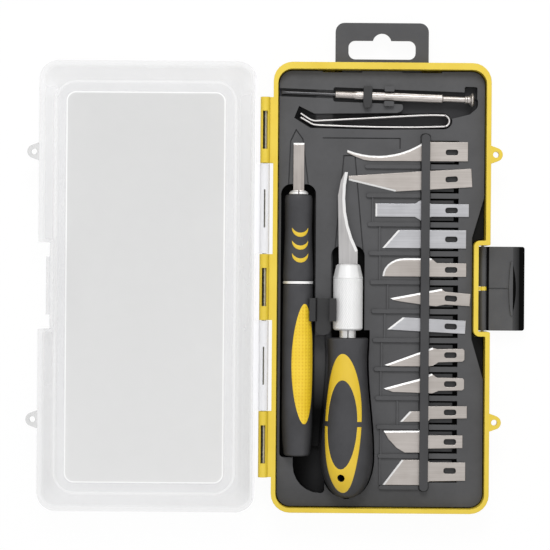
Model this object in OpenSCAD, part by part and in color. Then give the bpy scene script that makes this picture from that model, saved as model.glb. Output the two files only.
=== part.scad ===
// Craft knife set in a hinged case: two knives, spare blades, screwdriver and tweezers in a tray.
// Lengths are in millimetres. The case lies open, with the lid on its back beside the base.
// Origin: centre of the base's underside. +X points to the latch, +Y to the hanging tab, +Z up.

/* [Case] */
// Wall thickness of the base
wall = 2.3; // [2:0.1:3]
// Extra thickness of the end wall that carries the hanging tab
head_wall = 1.1; // [0.6:0.1:1.6]
// Floor thickness of the base
floor_t = 2; // [1.5:0.1:2.6]
// Outer corner radius of the case
corner_r = 9.5; // [8:0.5:12]
// Gap between the two rims when the case is shut
parting_gap = 0.2; // [0.1:0.05:0.4]
// Room above the fat knife when the case is shut
head_gap = 2.4; // [1.5:0.1:5]
// Clearance of parts that turn on a pin
run_gap = 0.05; // [0.03:0.01:0.1]

/* [Lid] */
// Wall thickness of the clear lid
lid_wall = 1.8; // [1.4:0.1:2.4]
// How far the lid walls lean in from rim to panel
lid_lean = 7; // [4:0.5:9]
// Height of the raised panel in the lid
panel_step = 0.6; // [0.3:0.1:1]
// Border between the foot of the lid wall and the panel
panel_border = 5; // [3:0.5:8]
// Extra border beside the hinge
panel_hinge = 4; // [2:0.5:6]

/* [Hinge] */
// Distance from the base's edge to the hinge axis
hinge_off = 4.1; // [3.6:0.1:5]
// Radius of the hinge knuckles
knuckle_r = 2.4; // [2:0.1:2.8]
// Radius of the hinge pin
hinge_pin_r = 1; // [0.8:0.1:1.2]
// Length of each base knuckle
base_knuckle_l = 33; // [26:1:38]
// Distance between neighbouring knuckle centres
hinge_pitch = 39.25; // [36:0.25:44]
// Gap between neighbouring knuckles
knuckle_gap = 0.3; // [0.2:0.05:0.6]
// Length of the slot in each knuckle
hinge_slot_l = 19; // [12:1:22]
// Width of the slot in each base knuckle
hinge_slot_w = 2.4; // [1.6:0.1:2.8]
// Width of the slot in each lid knuckle
lid_slot_w = 0.8; // [0.6:0.1:1.6]

/* [Latch] */
// Width of the latch recess
recess_w = 43.4; // [36:0.2:50]
// Depth of the latch recess
recess_d = 5.9; // [5.4:0.1:7]
// Gap beside the latch in its recess
latch_gap = 0.5; // [0.3:0.1:1]
// Length of the latch from its axis
latch_l = 21.3; // [19:0.1:24]
// Thickness of the latch plate
latch_t = 2.2; // [1.8:0.1:2.4]
// Distance from the case's edge in to the latch axis
latch_in = 2.8; // [2.5:0.1:3.1]
// Distance from the rim down to the latch axis
latch_drop = 10.5; // [9.5:0.1:11.5]
// Radius of the latch barrel
barrel_r = 2; // [1.7:0.1:2.2]
// Radius of the latch pin
latch_pin_r = 0.8; // [0.6:0.1:1]
// Width of the base's lug between the barrels
lug_w = 2; // [1.5:0.1:3]
// Thickness of the hook ridge along the latch
hook_w = 2; // [1.5:0.1:2.5]
// Height of the hook ridge
hook_h = 1.2; // [0.8:0.1:1.4]
// Length of the hook ridge and of the catch on the lid
hook_l = 27; // [16:1:34]
// Gap between hook and catch
hook_gap = 0.3; // [0.2:0.05:0.5]
// Height of the catch on the lid
catch_h = 1.2; // [0.8:0.1:1.6]

/* [Padlock ears] */
// Distance of the ears from the middle of the case
ear_y = 67; // [50:1:85]
// Distance of the hole's centre from the case's edge
ear_reach = 2.4; // [2:0.1:4]
// Radius of the hole
ear_hole_r = 1.5; // [1.2:0.1:2]
// Material round the hole
ear_rim = 1.9; // [1.6:0.1:3]
// Thickness of each ear
ear_t = 3; // [2:0.1:4]

/* [Hanging tab] */
// Width of the tab
hanger_w = 47; // [44:0.5:60]
// Height of the tab above the case
hanger_h = 20.7; // [19.5:0.1:28]
// Thickness of the tab
hanger_t = 1.8; // [1.2:0.1:2.4]
// Height of the tab above the table
hanger_z = 7; // [5:0.5:9]
// Corner radius of the tab
hanger_r = 4.5; // [2:0.5:8]
// Width of the hook slot
slot_w = 33.9; // [24:0.1:36]
// Height of the hook slot
slot_h = 9.5; // [7:0.1:11]
// Distance from the case to the middle of the hook slot
slot_rise = 7.05; // [6.4:0.05:9]
// Radius of the bump above the hook slot
bump_r = 4.7; // [3:0.1:5.5]
// Width of the tongue that clips through the wall
tongue_w = 40; // [24:1:44]

/* [Tray] */
// Height of the tray
tray_h = 10.5; // [10:0.1:11.5]
// Clearance between the tray and the base wall
tray_gap = 0.6; // [0.3:0.05:0.8]
// Wall thickness of the moulded tray
tray_skin = 1.2; // [0.9:0.1:1.6]
// Floor thickness under the deepest pocket
tray_floor = 1.1; // [0.8:0.1:1.5]
// Gap round a tool in its pocket
pocket_gap = 1; // [0.6:0.1:1.2]
// Gap between a tool and the surface it lies on
seat_gap = 0.3; // [0.2:0.05:0.4]
// Margin beside the slim knife
slim_margin = 2.25; // [1.6:0.05:5]
// Gap between the two knife handles
knife_gap = 4.25; // [3.5:0.05:8]
// Gap from the fat handle to the shorter spare blades
bay_gap = 5.1; // [4.5:0.1:9]
// Gap from the longest tang to the tray's edge
tang_margin = 0.8; // [0.5:0.1:4]
// Gap from the end of the slim knife to the tray's end
slim_foot = 25.45; // [22:0.05:30]
// Gap from the end of the fat knife to the tray's end
fat_foot = 4.75; // [1.5:0.05:6]
// Distance from the tip of the slim knife to the middle of the tweezers
slim_head = 11.55; // [9:0.05:16]
// Distance from the last spare blade to the tray's end
row_foot = 18.25; // [14:0.05:24]
// Distance from the first spare blade to the middle of the tweezers
row_head = 15.95; // [14:0.05:20]
// Distance from the tweezers to the tip of the screwdriver
driver_gap = 13.8; // [13:0.1:17]
// Distance from the tip of the screwdriver to the tray's end
driver_head = 10.9; // [9:0.1:16]

/* [Spare blades] */
// Thickness of every blade
blade_t = 0.6; // [0.4:0.05:0.8]
// Distance between neighbouring blades
blade_pitch = 14.52; // [13.5:0.01:17]
// Width of the ground bevel
bevel_w = 0.9; // [0.5:0.1:1.6]
// Thickness left at the cutting edge
edge_t = 0.1; // [0.05:0.01:0.2]
// Gap above and below a blade under the bar
blade_gap = 0.1; // [0.05:0.05:0.3]
// Width of the bar that holds the tangs
bar_w = 4.2; // [3.4:0.1:5]
// Height of the bar
bar_h = 2.5; // [1.8:0.1:3.5]
// Radius of the bar's pegs
peg_r = 1; // [0.7:0.1:1.1]
// Width of the ribs between the blades
rib_w = 2; // [1.2:0.1:2.2]
// Height of the ribs and stops above the tray
rib_h = 1.2; // [0.6:0.1:1.6]
// Depth of the slots under the tangs
well_d = 4; // [2:0.1:5]

/* [Slim knife] */
// Diameter of the rear grip
slim_d = 15.5; // [14.5:0.1:16]
// Length of the rear grip
grip_l = 86.15; // [76:0.05:94]
// Length of the metal ring
ring_l = 1.3; // [0.8:0.1:2.5]
// Length of the turning sleeve
sleeve_l = 43.35; // [38:0.05:48]
// Diameter of the sleeve at its front
sleeve_d = 14; // [12:0.1:14.4]
// Length of the collet tip in front of the sleeve
collet_l = 2.2; // [1.5:0.1:4]
// Length of the blade in front of the collet
slim_blade_l = 23.9; // [18:0.1:28]
// Width of the slim knife's blade
slim_blade_w = 5.4; // [4.6:0.1:6]
// Radius of the spigot that carries ring and sleeve
spigot_r = 3.4; // [3:0.1:3.8]
// Depth of the coloured inlays
inlay_t = 0.8; // [0.5:0.1:1]

/* [Fat knife] */
// Largest diameter of the handle
fat_d = 26; // [25:0.1:27]
// Diameter of the handle's waist
waist_d = 19.5; // [18.5:0.1:21]
// Length of the handle
fat_l = 80.1; // [76:0.1:88]
// Length of the bare spindle between handle and chuck
spindle_l = 3.7; // [2:0.1:6]
// Radius of the split spindle
spindle_r = 4.1; // [3.4:0.1:4.3]
// Radius of the knurled chuck
chuck_r = 7.4; // [6.8:0.1:7.8]
// Length of the knurled chuck
chuck_l = 33; // [28:0.1:36]
// Length of the blade in front of the chuck
fat_blade_l = 46.1; // [38:0.1:50]
// Thickness of the fat knife's blade
fat_blade_t = 0.9; // [0.6:0.05:1.2]
// Width of the ground bevel on the fat knife's blade
fat_bevel_w = 1.5; // [0.9:0.1:2]
// Angle that the fat handle is rolled over in its pocket
fat_roll = 16; // [0:1:25]
// Radius of the lanyard hole
lanyard_r = 1.85; // [1.2:0.05:2.2]

/* [Screwdriver] */
// Radius of the shaft
shaft_r = 1.05; // [0.8:0.05:1.2]
// Length of the shaft in front of the body
shaft_l = 27; // [22:0.5:29]
// Radius of the fluted body
body_r = 2.1; // [1.9:0.05:2.3]
// Length of the knurled collar
collar_l = 9.4; // [6:0.1:12]
// Length of the body with its collar
body_l = 54; // [48:0.5:56]
// Radius of the neck
neck_r = 1.45; // [1.2:0.05:1.7]
// Length of the neck
neck_l = 12.2; // [10:0.1:13]
// Radius of the swivel cap
cap_r = 3.5; // [3:0.1:3.8]
// Length of the swivel cap
cap_l = 3.4; // [2.8:0.1:4.2]
// Angle that the screwdriver lies at
driver_tilt = -1.9; // [-3:0.1:0]

/* [Tweezers] */
// Thickness of the strip
strip_t = 0.8; // [0.6:0.05:0.9]
// Width of the strip, which stands on edge
strip_h = 7.5; // [6:0.1:7.8]
// Radius of the bend at the middle of the strip
bend_r = 2.8; // [2.6:0.1:3.2]
// Length from the bend to the elbows near the tips
arm_l = 66; // [60:0.5:70]

/* [Hidden] */
$fn = 48;
fillet_n = 6;
eps = 0.01;
yellow = "#f2c61d";
black = "#2b2b2d";
steel = "#c9cbce";

// Reach of each spare blade from the bar to its tip, and from the bar to its tail, row by row
reach = [39.3, 38.4, 25, 21.4, 21.2, 17.2, 18.5, 20, 20.3, 11.9, 20.1, 20.5];
tail = [21.2, 23.3, 21.9, 20.6, 20.8, 22.9, 20.6, 20.2, 20.1, 21.6, 19.5, 21];
rows = len(reach);
longest_tang = 6;

// Lengths of the two knives from end to blade tip
slim_body_l = grip_l + ring_l + sleeve_l + collet_l;
slim_l = slim_body_l + slim_blade_l;
fat_front = fat_l + spindle_l + chuck_l;
driver_l = shaft_l + body_l + neck_l + cap_l;

// Size of the case, from the tools that lie in it
rim = wall + tray_gap;
driver_margin = 1.1;
driver_end = 4;
tool_row = slim_margin + slim_d + knife_gap + fat_d + bay_gap + reach[rows - 1]
    + tail[longest_tang - 1] + tang_margin + recess_d;
case_w = 2 * rim + max(tool_row, driver_margin + driver_l + driver_end);
row_column = row_foot + (rows - 1) * blade_pitch + row_head;
slim_column = slim_foot + slim_l + slim_head;
fat_column = fat_foot + fat_front + fat_blade_l + slim_head;
column = max(row_column, slim_column, fat_column);
case_l = 2 * rim + head_wall + column + driver_gap + driver_head;
fat_z = floor_t + tray_floor + seat_gap + fat_d / 2;
half_h = (fat_z + fat_d / 2 + head_gap + panel_step + lid_wall - parting_gap) / 2;

// Places in the base
base_left = -case_w / 2;
base_right = case_w / 2;
tray_left = base_left + rim;
tray_foot = -case_l / 2 + rim;
tray_head = case_l / 2 - rim - head_wall;
tray_top = floor_t + tray_h;
slim_x = tray_left + slim_margin + slim_d / 2;
slim_y = tray_foot + slim_foot;
slim_rise = 0.7;
slim_z = tray_top + slim_rise;
fat_x = slim_x + slim_d / 2 + knife_gap + fat_d / 2;
fat_y = tray_foot + fat_foot;
bar_x = fat_x + fat_d / 2 + bay_gap + reach[rows - 1];
tweezer_y = tray_foot + column;
blade_z = tray_top + blade_gap;
bar_z = blade_z + blade_t + blade_gap;
function row_y(k) = tray_foot + row_foot + (rows - k) * blade_pitch;

// Pegs at the two ends of the bar
peg_ys = [row_y(1) + 7.6, row_y(rows) - 8.6];
peg_l = 3;
peg_gap = 0.1;
bar_end = 1.4;

// Hinge and latch axes
hinge_x = base_left - hinge_off;
hinge_z = half_h + parting_gap / 2;
lid_x = 2 * hinge_x;
lid_left = lid_x - case_w / 2;
lid_knuckle_l = 2 * hinge_pitch - base_knuckle_l - 2 * knuckle_gap;
hinge_l = 4 * hinge_pitch + base_knuckle_l - 1;
notch_x = base_right - recess_d;
recess_half = recess_w / 2;
latch_x = base_right - latch_in;
latch_z = half_h - latch_drop;
latch_top = 0.3;
catch_far = hinge_z + parting_gap / 2 + 1 + catch_h;
hook_at = catch_far + hook_gap - latch_z;

// Corner p between its neighbours a and b, rounded to radius r
function unit(v) = v / norm(v);
function fillet(a, p, b, r) =
    let (u = unit(a - p), v = unit(b - p), half = acos(u * v) / 2)
    let (c = p + unit(u + v) * r / sin(half))
    let (s = p + u * r / tan(half) - c, e = p + v * r / tan(half) - c)
    let (from = atan2(s.y, s.x), turn = (atan2(e.y, e.x) - from + 540) % 360 - 180)
    [for (i = [0 : fillet_n]) let (t = from + turn * i / fillet_n) c + r * [cos(t), sin(t)]];
function rounded(pts, r) = let (n = len(pts))
    [for (i = [0 : n - 1]) let (ri = is_list(r) ? r[i] : r)
        each ri > 0 ? fillet(pts[(i + n - 1) % n], pts[i], pts[(i + 1) % n], ri) : [pts[i]]];
function box(x0, x1, y0, y1) = [[x0, y0], [x1, y0], [x1, y1], [x0, y1]];
function ellipse(rx, ry, n = 48) =
    [for (i = [0 : n - 1]) let (t = 360 * i / n) [rx * cos(t), ry * sin(t)]];

// A strip of thickness t along a path
function normal_at(p, i) =
    let (a = unit(p[min(i + 1, len(p) - 1)] - p[min(i, len(p) - 2)]))
    let (b = unit(p[max(i, 1)] - p[max(i - 1, 0)]))
    let (m = unit(a + b)) [-m.y, m.x] / (m * a);
function strip(p, t) = concat(
    [for (i = [0 : len(p) - 1]) p[i] + normal_at(p, i) * t / 2],
    [for (i = [len(p) - 1 : -1 : 0]) p[i] - normal_at(p, i) * t / 2]);

// Turns a shape built along Z so that it lies along Y or X
module along_y() { rotate([-90, 0, 0]) children(); }
module along_x() { rotate([0, 90, 0]) children(); }

// Base

// Outline of the base, moved in by i all round, with the latch recess
recess_r = 0.8;
mouth_r = 0.5;
function case_outline(i) =
    let (l = base_left + i, r = base_right - i, f = -case_l / 2 + i)
    let (h = case_l / 2 - i - (i > 0 ? head_wall : 0))
    let (n = notch_x - i, w = recess_half + i, out = corner_r - i, in = recess_r + i)
    rounded([[l, f], [r, f], [r, -w], [n, -w], [n, w], [r, w], [r, h], [l, h]],
        [out, out, mouth_r, in, in, mouth_r, out, out]);

// Hinge barrel with its web, side 1 to the base and -1 to the lid
web_rise = 0.4;
module knuckle(y, l, side, bite) {
    web_z = hinge_z - knuckle_r + web_rise;
    translate([hinge_x, y, hinge_z]) rotate([90, 0, 0]) cylinder(r = knuckle_r, h = l, center = true);
    translate([side > 0 ? hinge_x : hinge_x - hinge_off - bite, y - l / 2, web_z])
        cube([hinge_off + bite, l, half_h - web_z]);
}

module knuckle_slot(y, w) {
    translate([hinge_x - w / 2, y - hinge_slot_l / 2, hinge_z]) cube([w, hinge_slot_l, knuckle_r + 1]);
}

module hinge_bore() {
    translate([hinge_x, 0, hinge_z]) rotate([90, 0, 0])
        cylinder(r = hinge_pin_r + run_gap, h = hinge_l + 2, center = true);
}

// Padlock ear on an edge at x, pointing to side
ear_spread = 2.9;
module ear(x, y, side) {
    hole_x = x + side * ear_reach;
    outer = ear_hole_r + ear_rim;
    translate([0, 0, half_h - ear_t]) difference() {
        linear_extrude(ear_t) hull() {
            translate([hole_x, y]) circle(outer, $fn = 32);
            translate([x - side * wall / 2, y]) square([eps, ear_spread * outer], center = true);
        }
        translate([hole_x, y, -1]) cylinder(r = ear_hole_r, h = ear_t + 2);
    }
}

lug_inset = 0.3;
pin_end_gap = 0.3;
tongue_gap = 0.1;
module base_shell() {
    color(yellow) difference() {
        union() {
            difference() {
                linear_extrude(half_h) polygon(case_outline(0));
                translate([0, 0, floor_t]) linear_extrude(half_h) polygon(case_outline(wall));
            }
            for (i = [-1 : 1]) knuckle(2 * i * hinge_pitch, base_knuckle_l, 1, wall / 2);
            for (s = [-1, 1]) ear(base_right, s * ear_y, 1);
            // Lug between the two halves of the latch barrel
            translate([latch_x, 0, latch_z]) rotate([90, 0, 0])
                cylinder(r = barrel_r, h = lug_w, center = true);
            translate([notch_x - wall / 2, -lug_w / 2, latch_z - barrel_r + lug_inset])
                cube([latch_x - notch_x + wall / 2, lug_w, 2 * (barrel_r - lug_inset)]);
        }
        hinge_bore();
        for (i = [-1 : 1]) knuckle_slot(2 * i * hinge_pitch, hinge_slot_w);
        translate([latch_x, 0, latch_z]) rotate([90, 0, 0])
            cylinder(r = latch_pin_r + run_gap, h = recess_w + wall + 2 * pin_end_gap, center = true);
        // Slot for the hanging tab's tongue
        translate([-tongue_w / 2 - tongue_gap, tray_head, hanger_z - tongue_gap])
            cube([tongue_w + 2 * tongue_gap, case_l / 2 + 1 - tray_head, hanger_t + 2 * tongue_gap]);
    }
}

module hinge_pin() {
    color("#3a3a3c") translate([hinge_x, 0, hinge_z]) rotate([90, 0, 0])
        cylinder(r = hinge_pin_r, h = hinge_l, center = true);
}

// Lid

// Sloping block between an outline at the rim and one at height z0, both moved in
foot_r = 3;
module lid_block(rim_in, foot_in, z0) {
    hull() {
        translate([lid_x, 0, half_h - eps]) linear_extrude(rim_in > 0 ? 1 : eps)
            polygon(rounded(box(rim_in - case_w / 2, case_w / 2 - rim_in,
                rim_in - case_l / 2, case_l / 2 - rim_in), corner_r - rim_in));
        translate([lid_x, 0, z0]) linear_extrude(eps)
            polygon(rounded(box(foot_in - case_w / 2, case_w / 2 - foot_in,
                foot_in - case_l / 2, case_l / 2 - foot_in), max(corner_r - foot_in / 2, foot_r)));
    }
}

panel_r = 4;
panel_foot = 0.6;
panel_head = 2;
wall_lean = 0.9;
catch_gap = 0.2;
module lid_shell() {
    panel_in = lid_lean + panel_border;
    catch_z = 2 * hinge_z - catch_far;
    color([0.9, 0.92, 0.94, 0.35]) difference() {
        union() {
            difference() {
                lid_block(0, lid_lean, 0);
                difference() {
                    lid_block(lid_wall, lid_lean + wall_lean * lid_wall, lid_wall);
                    // Wall of the latch recess, left standing in the hollow
                    translate([lid_left - 1, -recess_half - lid_wall, -1])
                        cube([recess_d + lid_wall + 1, recess_w + 2 * lid_wall, half_h + 3]);
                }
                translate([lid_left - 1, -recess_half, -1]) cube([recess_d + 1, recess_w, half_h + 2]);
            }
            // Raised panel
            translate([lid_x, 0, lid_wall - catch_gap]) linear_extrude(panel_step + catch_gap)
                polygon(rounded(box(panel_in - case_w / 2, case_w / 2 - panel_in - panel_hinge,
                    panel_in + panel_foot - case_l / 2, case_l / 2 - panel_in - panel_head), panel_r));
            // Catch for the hook
            translate([lid_left + latch_in + hook_h - latch_top + catch_gap, -hook_l / 2 - 1, catch_z])
                cube([recess_d - latch_in - hook_h + latch_top + catch_gap, hook_l + 2, catch_h]);
            for (s = [-1, 1]) knuckle(s * hinge_pitch, lid_knuckle_l, -1, 0.7 * lid_wall);
            for (s = [-1, 1]) ear(lid_left, s * ear_y, -1);
        }
        hinge_bore();
        for (s = [-1, 1]) knuckle_slot(s * hinge_pitch, lid_slot_w);
    }
}

// Latch

lug_gap = 0.3;
lug_side = 0.12;
groove_w = 0.7;
groove_d = 0.7;
barrel_groove_w = 1.2;
barrel_groove_d = 1.2;
hook_bow = 1;
dip_bow = 1.7;
dip_d = 1;
latch_r = 1.2;
module latch() {
    half = recess_half - latch_gap;
    low = latch_top - latch_t;
    hook_far = hook_at + hook_w;
    dip_half = hook_l / 2 - 1;
    color(black) translate([latch_x, 0, latch_z]) difference() {
        union() {
            rotate([90, 0, 0]) cylinder(r = barrel_r, h = 2 * half, center = true);
            // Plate with its finger lip sloping down to the tip
            intersection() {
                rotate([90, 0, 0]) translate([0, 0, -half]) linear_extrude(2 * half)
                    polygon([[0, low], [latch_l, low], [latch_l, latch_top - 0.6 * latch_t],
                        [hook_far + 0.4, latch_top], [0, latch_top]]);
                translate([0, 0, low]) linear_extrude(latch_t)
                    polygon(rounded(box(0, latch_l, -half, half), [0, latch_r, latch_r, 0]));
            }
            // Bowed hook ridge
            linear_extrude(latch_top + hook_h) polygon(concat(
                bow([hook_at + hook_bow, -hook_l / 2], [hook_at + hook_bow, hook_l / 2], hook_bow, 10),
                [[hook_far, hook_l / 2], [hook_far, -hook_l / 2]]));
        }
        rotate([90, 0, 0]) cylinder(r = latch_pin_r + run_gap, h = recess_w, center = true);
        // Room for the base's lug
        rotate([90, 0, 0]) cylinder(r = barrel_r + lug_gap, h = lug_w + 2 * lug_side, center = true);
        // Groove from the barrel to the hook, and one along the barrel
        translate([0, -groove_w / 2, latch_top - groove_d]) cube([hook_at - groove_w, groove_w, 1]);
        translate([barrel_r, -recess_half, latch_top - barrel_groove_d])
            cube([barrel_groove_w, recess_w, latch_t]);
        // Finger hollow behind the hook
        translate([0, 0, latch_top - dip_d]) linear_extrude(latch_t)
            polygon(bow([hook_far, dip_half], [hook_far, -dip_half], dip_bow, 10));
    }
}

module latch_pin() {
    color(steel) translate([latch_x, 0, latch_z]) rotate([90, 0, 0])
        cylinder(r = latch_pin_r, h = recess_w + wall, center = true);
}

// Hanging tab

slot_r = 3.4;
bump_dip = 1.05;
tongue_l = 0.7;
module hanger_tab() {
    edge = case_l / 2;
    slot_y = edge + slot_rise;
    color(black) translate([0, 0, hanger_z]) linear_extrude(hanger_t) difference() {
        union() {
            polygon(rounded(box(-hanger_w / 2, hanger_w / 2, edge + tongue_gap, edge + hanger_h),
                [mouth_r, mouth_r, hanger_r, hanger_r]));
            translate([-tongue_w / 2, tray_head - tongue_l])
                square([tongue_w, edge + 1 - tray_head + tongue_l]);
        }
        polygon(rounded(box(-slot_w / 2, slot_w / 2, slot_y - slot_h / 2, slot_y + slot_h / 2), slot_r));
        translate([0, slot_y + slot_h / 2 - bump_dip]) circle(bump_r);
    }
}

// Tray

// Outline of the tray, moved in by i, with its slanting waist at the latch
waist_gap = 1.5;
waist_slope = 20;
waist_r = 3;
function tray_outline(i) =
    let (l = tray_left + i, r = base_right - rim - i, f = tray_foot + i, h = tray_head - i)
    let (n = notch_x - rim - i, near = recess_half + wall + waist_gap, far = near + waist_slope)
    let (out = corner_r - rim - i)
    rounded([[l, f], [r, f], [r, -far], [n, -near], [n, near], [r, far], [r, h], [l, h]],
        [out, out, waist_r, waist_r, waist_r, waist_r, out, out]);

// Radius of the fat handle at distance y from its end
belly_y = 0.25 * fat_l;
waist_y = 0.87 * fat_l;
tail_r = 0.1 * fat_d / 2;
collar_r = waist_d / 2 + 0.45;
function sway(a, b, t) = a + (b - a) * (1 - cos(180 * t)) / 2;
function fat_r(y) =
    y < belly_y ? tail_r + (fat_d / 2 - tail_r) * sqrt(1 - pow(1 - y / belly_y, 2))
    : y < waist_y ? sway(fat_d / 2, waist_d / 2, (y - belly_y) / (waist_y - belly_y))
    : sway(waist_d / 2, collar_r, (y - waist_y) / (fat_l - waist_y));
fat_steps = [for (i = [0 : 8]) belly_y * (1 - cos(11.25 * i)),
    for (i = [1 : 12]) belly_y + (fat_l - belly_y) * i / 12];

// Plan of each pocket
pocket_r = 2;
scoop_r = 13.9;
scoop_foot = 6.5;
scoop_lap = 2;
nose_room = 9.3;
front_room = 3.2;
front_r = 5;
driver_room = 1.5;
module slim_pocket() {
    side = slim_d / 2 + pocket_gap;
    polygon(rounded(box(slim_x - side, slim_x + side,
        slim_y - pocket_gap, slim_y + slim_body_l + front_room), [pocket_r, pocket_r, front_r, front_r]));
}

module knife_scoop() {
    polygon(rounded(box(slim_x - scoop_lap, fat_x - fat_d / 2 + scoop_lap,
        tray_foot + scoop_foot, slim_y + 2 * scoop_lap), [scoop_r, pocket_r, pocket_r, pocket_r]));
}

// Deep trough between the two handles
module knife_trough() {
    polygon(box(slim_x + slim_d / 2, fat_x - waist_d / 2, slim_y, fat_y + fat_l + pocket_gap));
}

module fat_pocket() {
    pts = [for (y = fat_steps) [fat_r(y) + pocket_gap, fat_y + y]];
    left = [for (i = [len(pts) - 1 : -1 : 0]) [-pts[i].x, pts[i].y]];
    foot = [[-tail_r, fat_y - pocket_gap], [tail_r, fat_y - pocket_gap]];
    side = fat_r(fat_l) + pocket_gap;
    front = fat_y + fat_l + spindle_l;
    translate([fat_x, 0]) polygon(concat(foot, pts, [[side, front], [-side, front]], left));
}

module chuck_pocket() {
    side = chuck_r + pocket_gap;
    translate([fat_x, fat_y])
        polygon(rounded(box(-side, side, fat_l - pocket_r, fat_front + nose_room),
            [pocket_r, pocket_r, front_r, front_r]));
}

// Screwdriver frame: x along its axis from the tip
driver_sink = 0.7;
driver_x = tray_left + driver_margin;
driver_y = tweezer_y + driver_gap;
driver_z = tray_top - driver_sink;
module on_driver(z = 0) {
    translate([driver_x, driver_y, z]) rotate([0, 0, driver_tilt]) children();
}

module shaft_pocket() {
    on_driver() translate([-1, -shaft_r - pocket_gap]) square([shaft_l + 2, 2 * (shaft_r + pocket_gap)]);
}

module driver_pocket() {
    side = body_r + driver_room;
    on_driver() polygon(rounded(box(shaft_l - 1, driver_l - 1, -side, side), 1));
}

module cap_pocket() {
    side = cap_r + pocket_gap + 0.4;
    on_driver() polygon(rounded(box(driver_l - cap_l - pocket_gap - 0.4, driver_l + pocket_gap + 0.6,
        -side, side + 1.6), 1));
}

// Tweezer frame: x along the arms, from the middle of the bend
tweezer_back = 15;
tweezer_sink = 0.4;
tweezer_x = driver_x + driver_l - tweezer_back;
tweezer_z = tray_top - tweezer_sink - strip_h;
module on_tweezers(z = 0) { translate([tweezer_x, tweezer_y, z]) children(); }
tip_l = 6;
tip_x = arm_l + tip_l;

module tweezer_pocket() {
    out = bend_r + strip_t / 2 + pocket_gap;
    on_tweezers() polygon(concat(
        [for (a = [-90 : 15 : 90]) out * [cos(a), sin(a)]],
        [[1 - arm_l, out - 1], [-tip_x - 0.8, 7], [-tip_x - 3.2, 1], [-arm_l - 1, 0.2 - out],
            [-arm_l / 2, -out - 0.4]]));
}

// Finger scoop beside the tweezers' bend, with a rounded tongue at its left
scoop_end_r = 2.4;
scoop_d = 5.5;
module finger_scoop() {
    x0 = driver_x + shaft_l + 0.63 * body_l - scoop_end_r;
    x1 = driver_x + driver_l + scoop_lap;
    y0 = tweezer_y + bend_r - 1;
    y1 = driver_y + 0.5 * driver_tilt;
    difference() {
        polygon(rounded([[x0, y0 + 1], [tweezer_x + bend_r, y0 - 1], [x1 - 4, y0 + 1.5], [x1, y0 + 5],
            [x1, y1 - 1], [x0, y1 - 2]], [1, 2, 4, 3, 2, 1]));
        translate([x0, y0 + 2 * scoop_end_r]) circle(scoop_end_r);
    }
}

// Wells that let a finger tip up each tang
well_l = 14.2;
well_w = 11.9;
well_in = 0.5;
well_rise = 1.2;
well_slot_l = 2.4;
well_slot_w = 3.4;
well_side = 0.9;
module in_wells() {
    for (k = [1 : rows]) translate([bar_x + bar_w / 2 + well_in, row_y(k) - well_w / 2]) children();
}

module wells() { in_wells() square([well_l, well_w]); }

// Slots at the far end of each well and along both its sides
module well_slots() {
    in_wells() {
        for (y = [0, well_w - well_slot_w]) translate([well_l - well_slot_l, y])
            square([well_slot_l, well_slot_w]);
        for (y = [0, well_w - well_side]) translate([0, y]) square([well_l, well_side]);
    }
}

module all_pockets() {
    slim_pocket();
    knife_scoop();
    knife_trough();
    fat_pocket();
    chuck_pocket();
    shaft_pocket();
    driver_pocket();
    cap_pocket();
    tweezer_pocket();
    finger_scoop();
    wells();
}

// Cuts a plan down from the tray's top to height z
module sink(z) { translate([0, 0, z]) linear_extrude(tray_top + 1 - z) children(); }

// Scored outlines under the two knife blades, and a line along the head of the blade bay
line_d = 0.8;
shade_over = 8.7;
shade_head_w = 6;
shade_lean = 0.4;
line_w = 0.5;
line_up = 6.7;
line_end = 12.6;
line_drop = 5;
module outline() {
    difference() {
        children();
        offset(delta = -line_w) children();
    }
}

module fat_shade() {
    front = fat_y + fat_front;
    head = front + fat_blade_l + shade_over;
    mid = fat_x + shade_lean;
    polygon([[fat_x - chuck_r, front], [fat_x + chuck_r + pocket_gap, front],
        [mid + shade_head_w / 2, head], [mid - shade_head_w / 2, head]]);
}

// Bed under the blade bar
bar_sink = 0.8;
bar_room = 0.5;
module bar_bed() {
    side = bar_w / 2 + bar_room;
    polygon(rounded(box(bar_x - side, bar_x + side, peg_ys[1] - bar_end - bar_room,
        peg_ys[0] + bar_end + bar_room), 0.45 * bar_w));
}

module bay_line() {
    x0 = fat_x - fat_d / 2;
    x1 = bar_x - line_end;
    translate([0, row_y(1) + line_up]) {
        translate([x0, 0]) square([x1 - x0, line_w]);
        translate([x1 - line_w, -line_drop]) square([line_w, line_drop + eps]);
    }
}

module blade_shade() {
    front = slim_y + slim_body_l;
    polygon([[slim_x - slim_blade_w, front], [slim_x + slim_blade_w, front],
        [slim_x + 0.4 * slim_blade_w, front + slim_blade_l + 2], [slim_x - 1.5, front + slim_blade_l + 7],
        [slim_x - slim_blade_w + 1, front + slim_blade_l + 1]]);
}

// Ribs between the blades and stops at their tips
stop_w = 1;
stop_gap = 0.9;
rib_root = 0.2;
rib_start = 8.2;
rib_slant = 0.74;
rib_drop = 1.3;
function rib_left(k) = fat_x + rib_start + rib_slant * (k - 1);
module ribs() {
    right = bar_x - bar_w / 2 - bar_room;
    for (k = [1 : rows]) {
        y = row_y(k) - blade_pitch / 2 - (k == rows ? rib_drop : 0);
        translate([rib_left(k) + rib_w / 2, y, tray_top - rib_root]) {
            cylinder(d = rib_w, h = rib_h + rib_root);
            translate([0, -rib_w / 2, 0])
                cube([right - rib_left(k) - rib_w / 2, rib_w, rib_h + rib_root]);
        }
    }
    for (k = [3 : rows])
        translate([bar_x - reach[k - 1] - stop_gap - stop_w, row_y(k) - blade_pitch / 2,
            tray_top - rib_root]) cube([stop_w, blade_pitch, 0.6 * rib_h + rib_root]);
}

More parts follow.
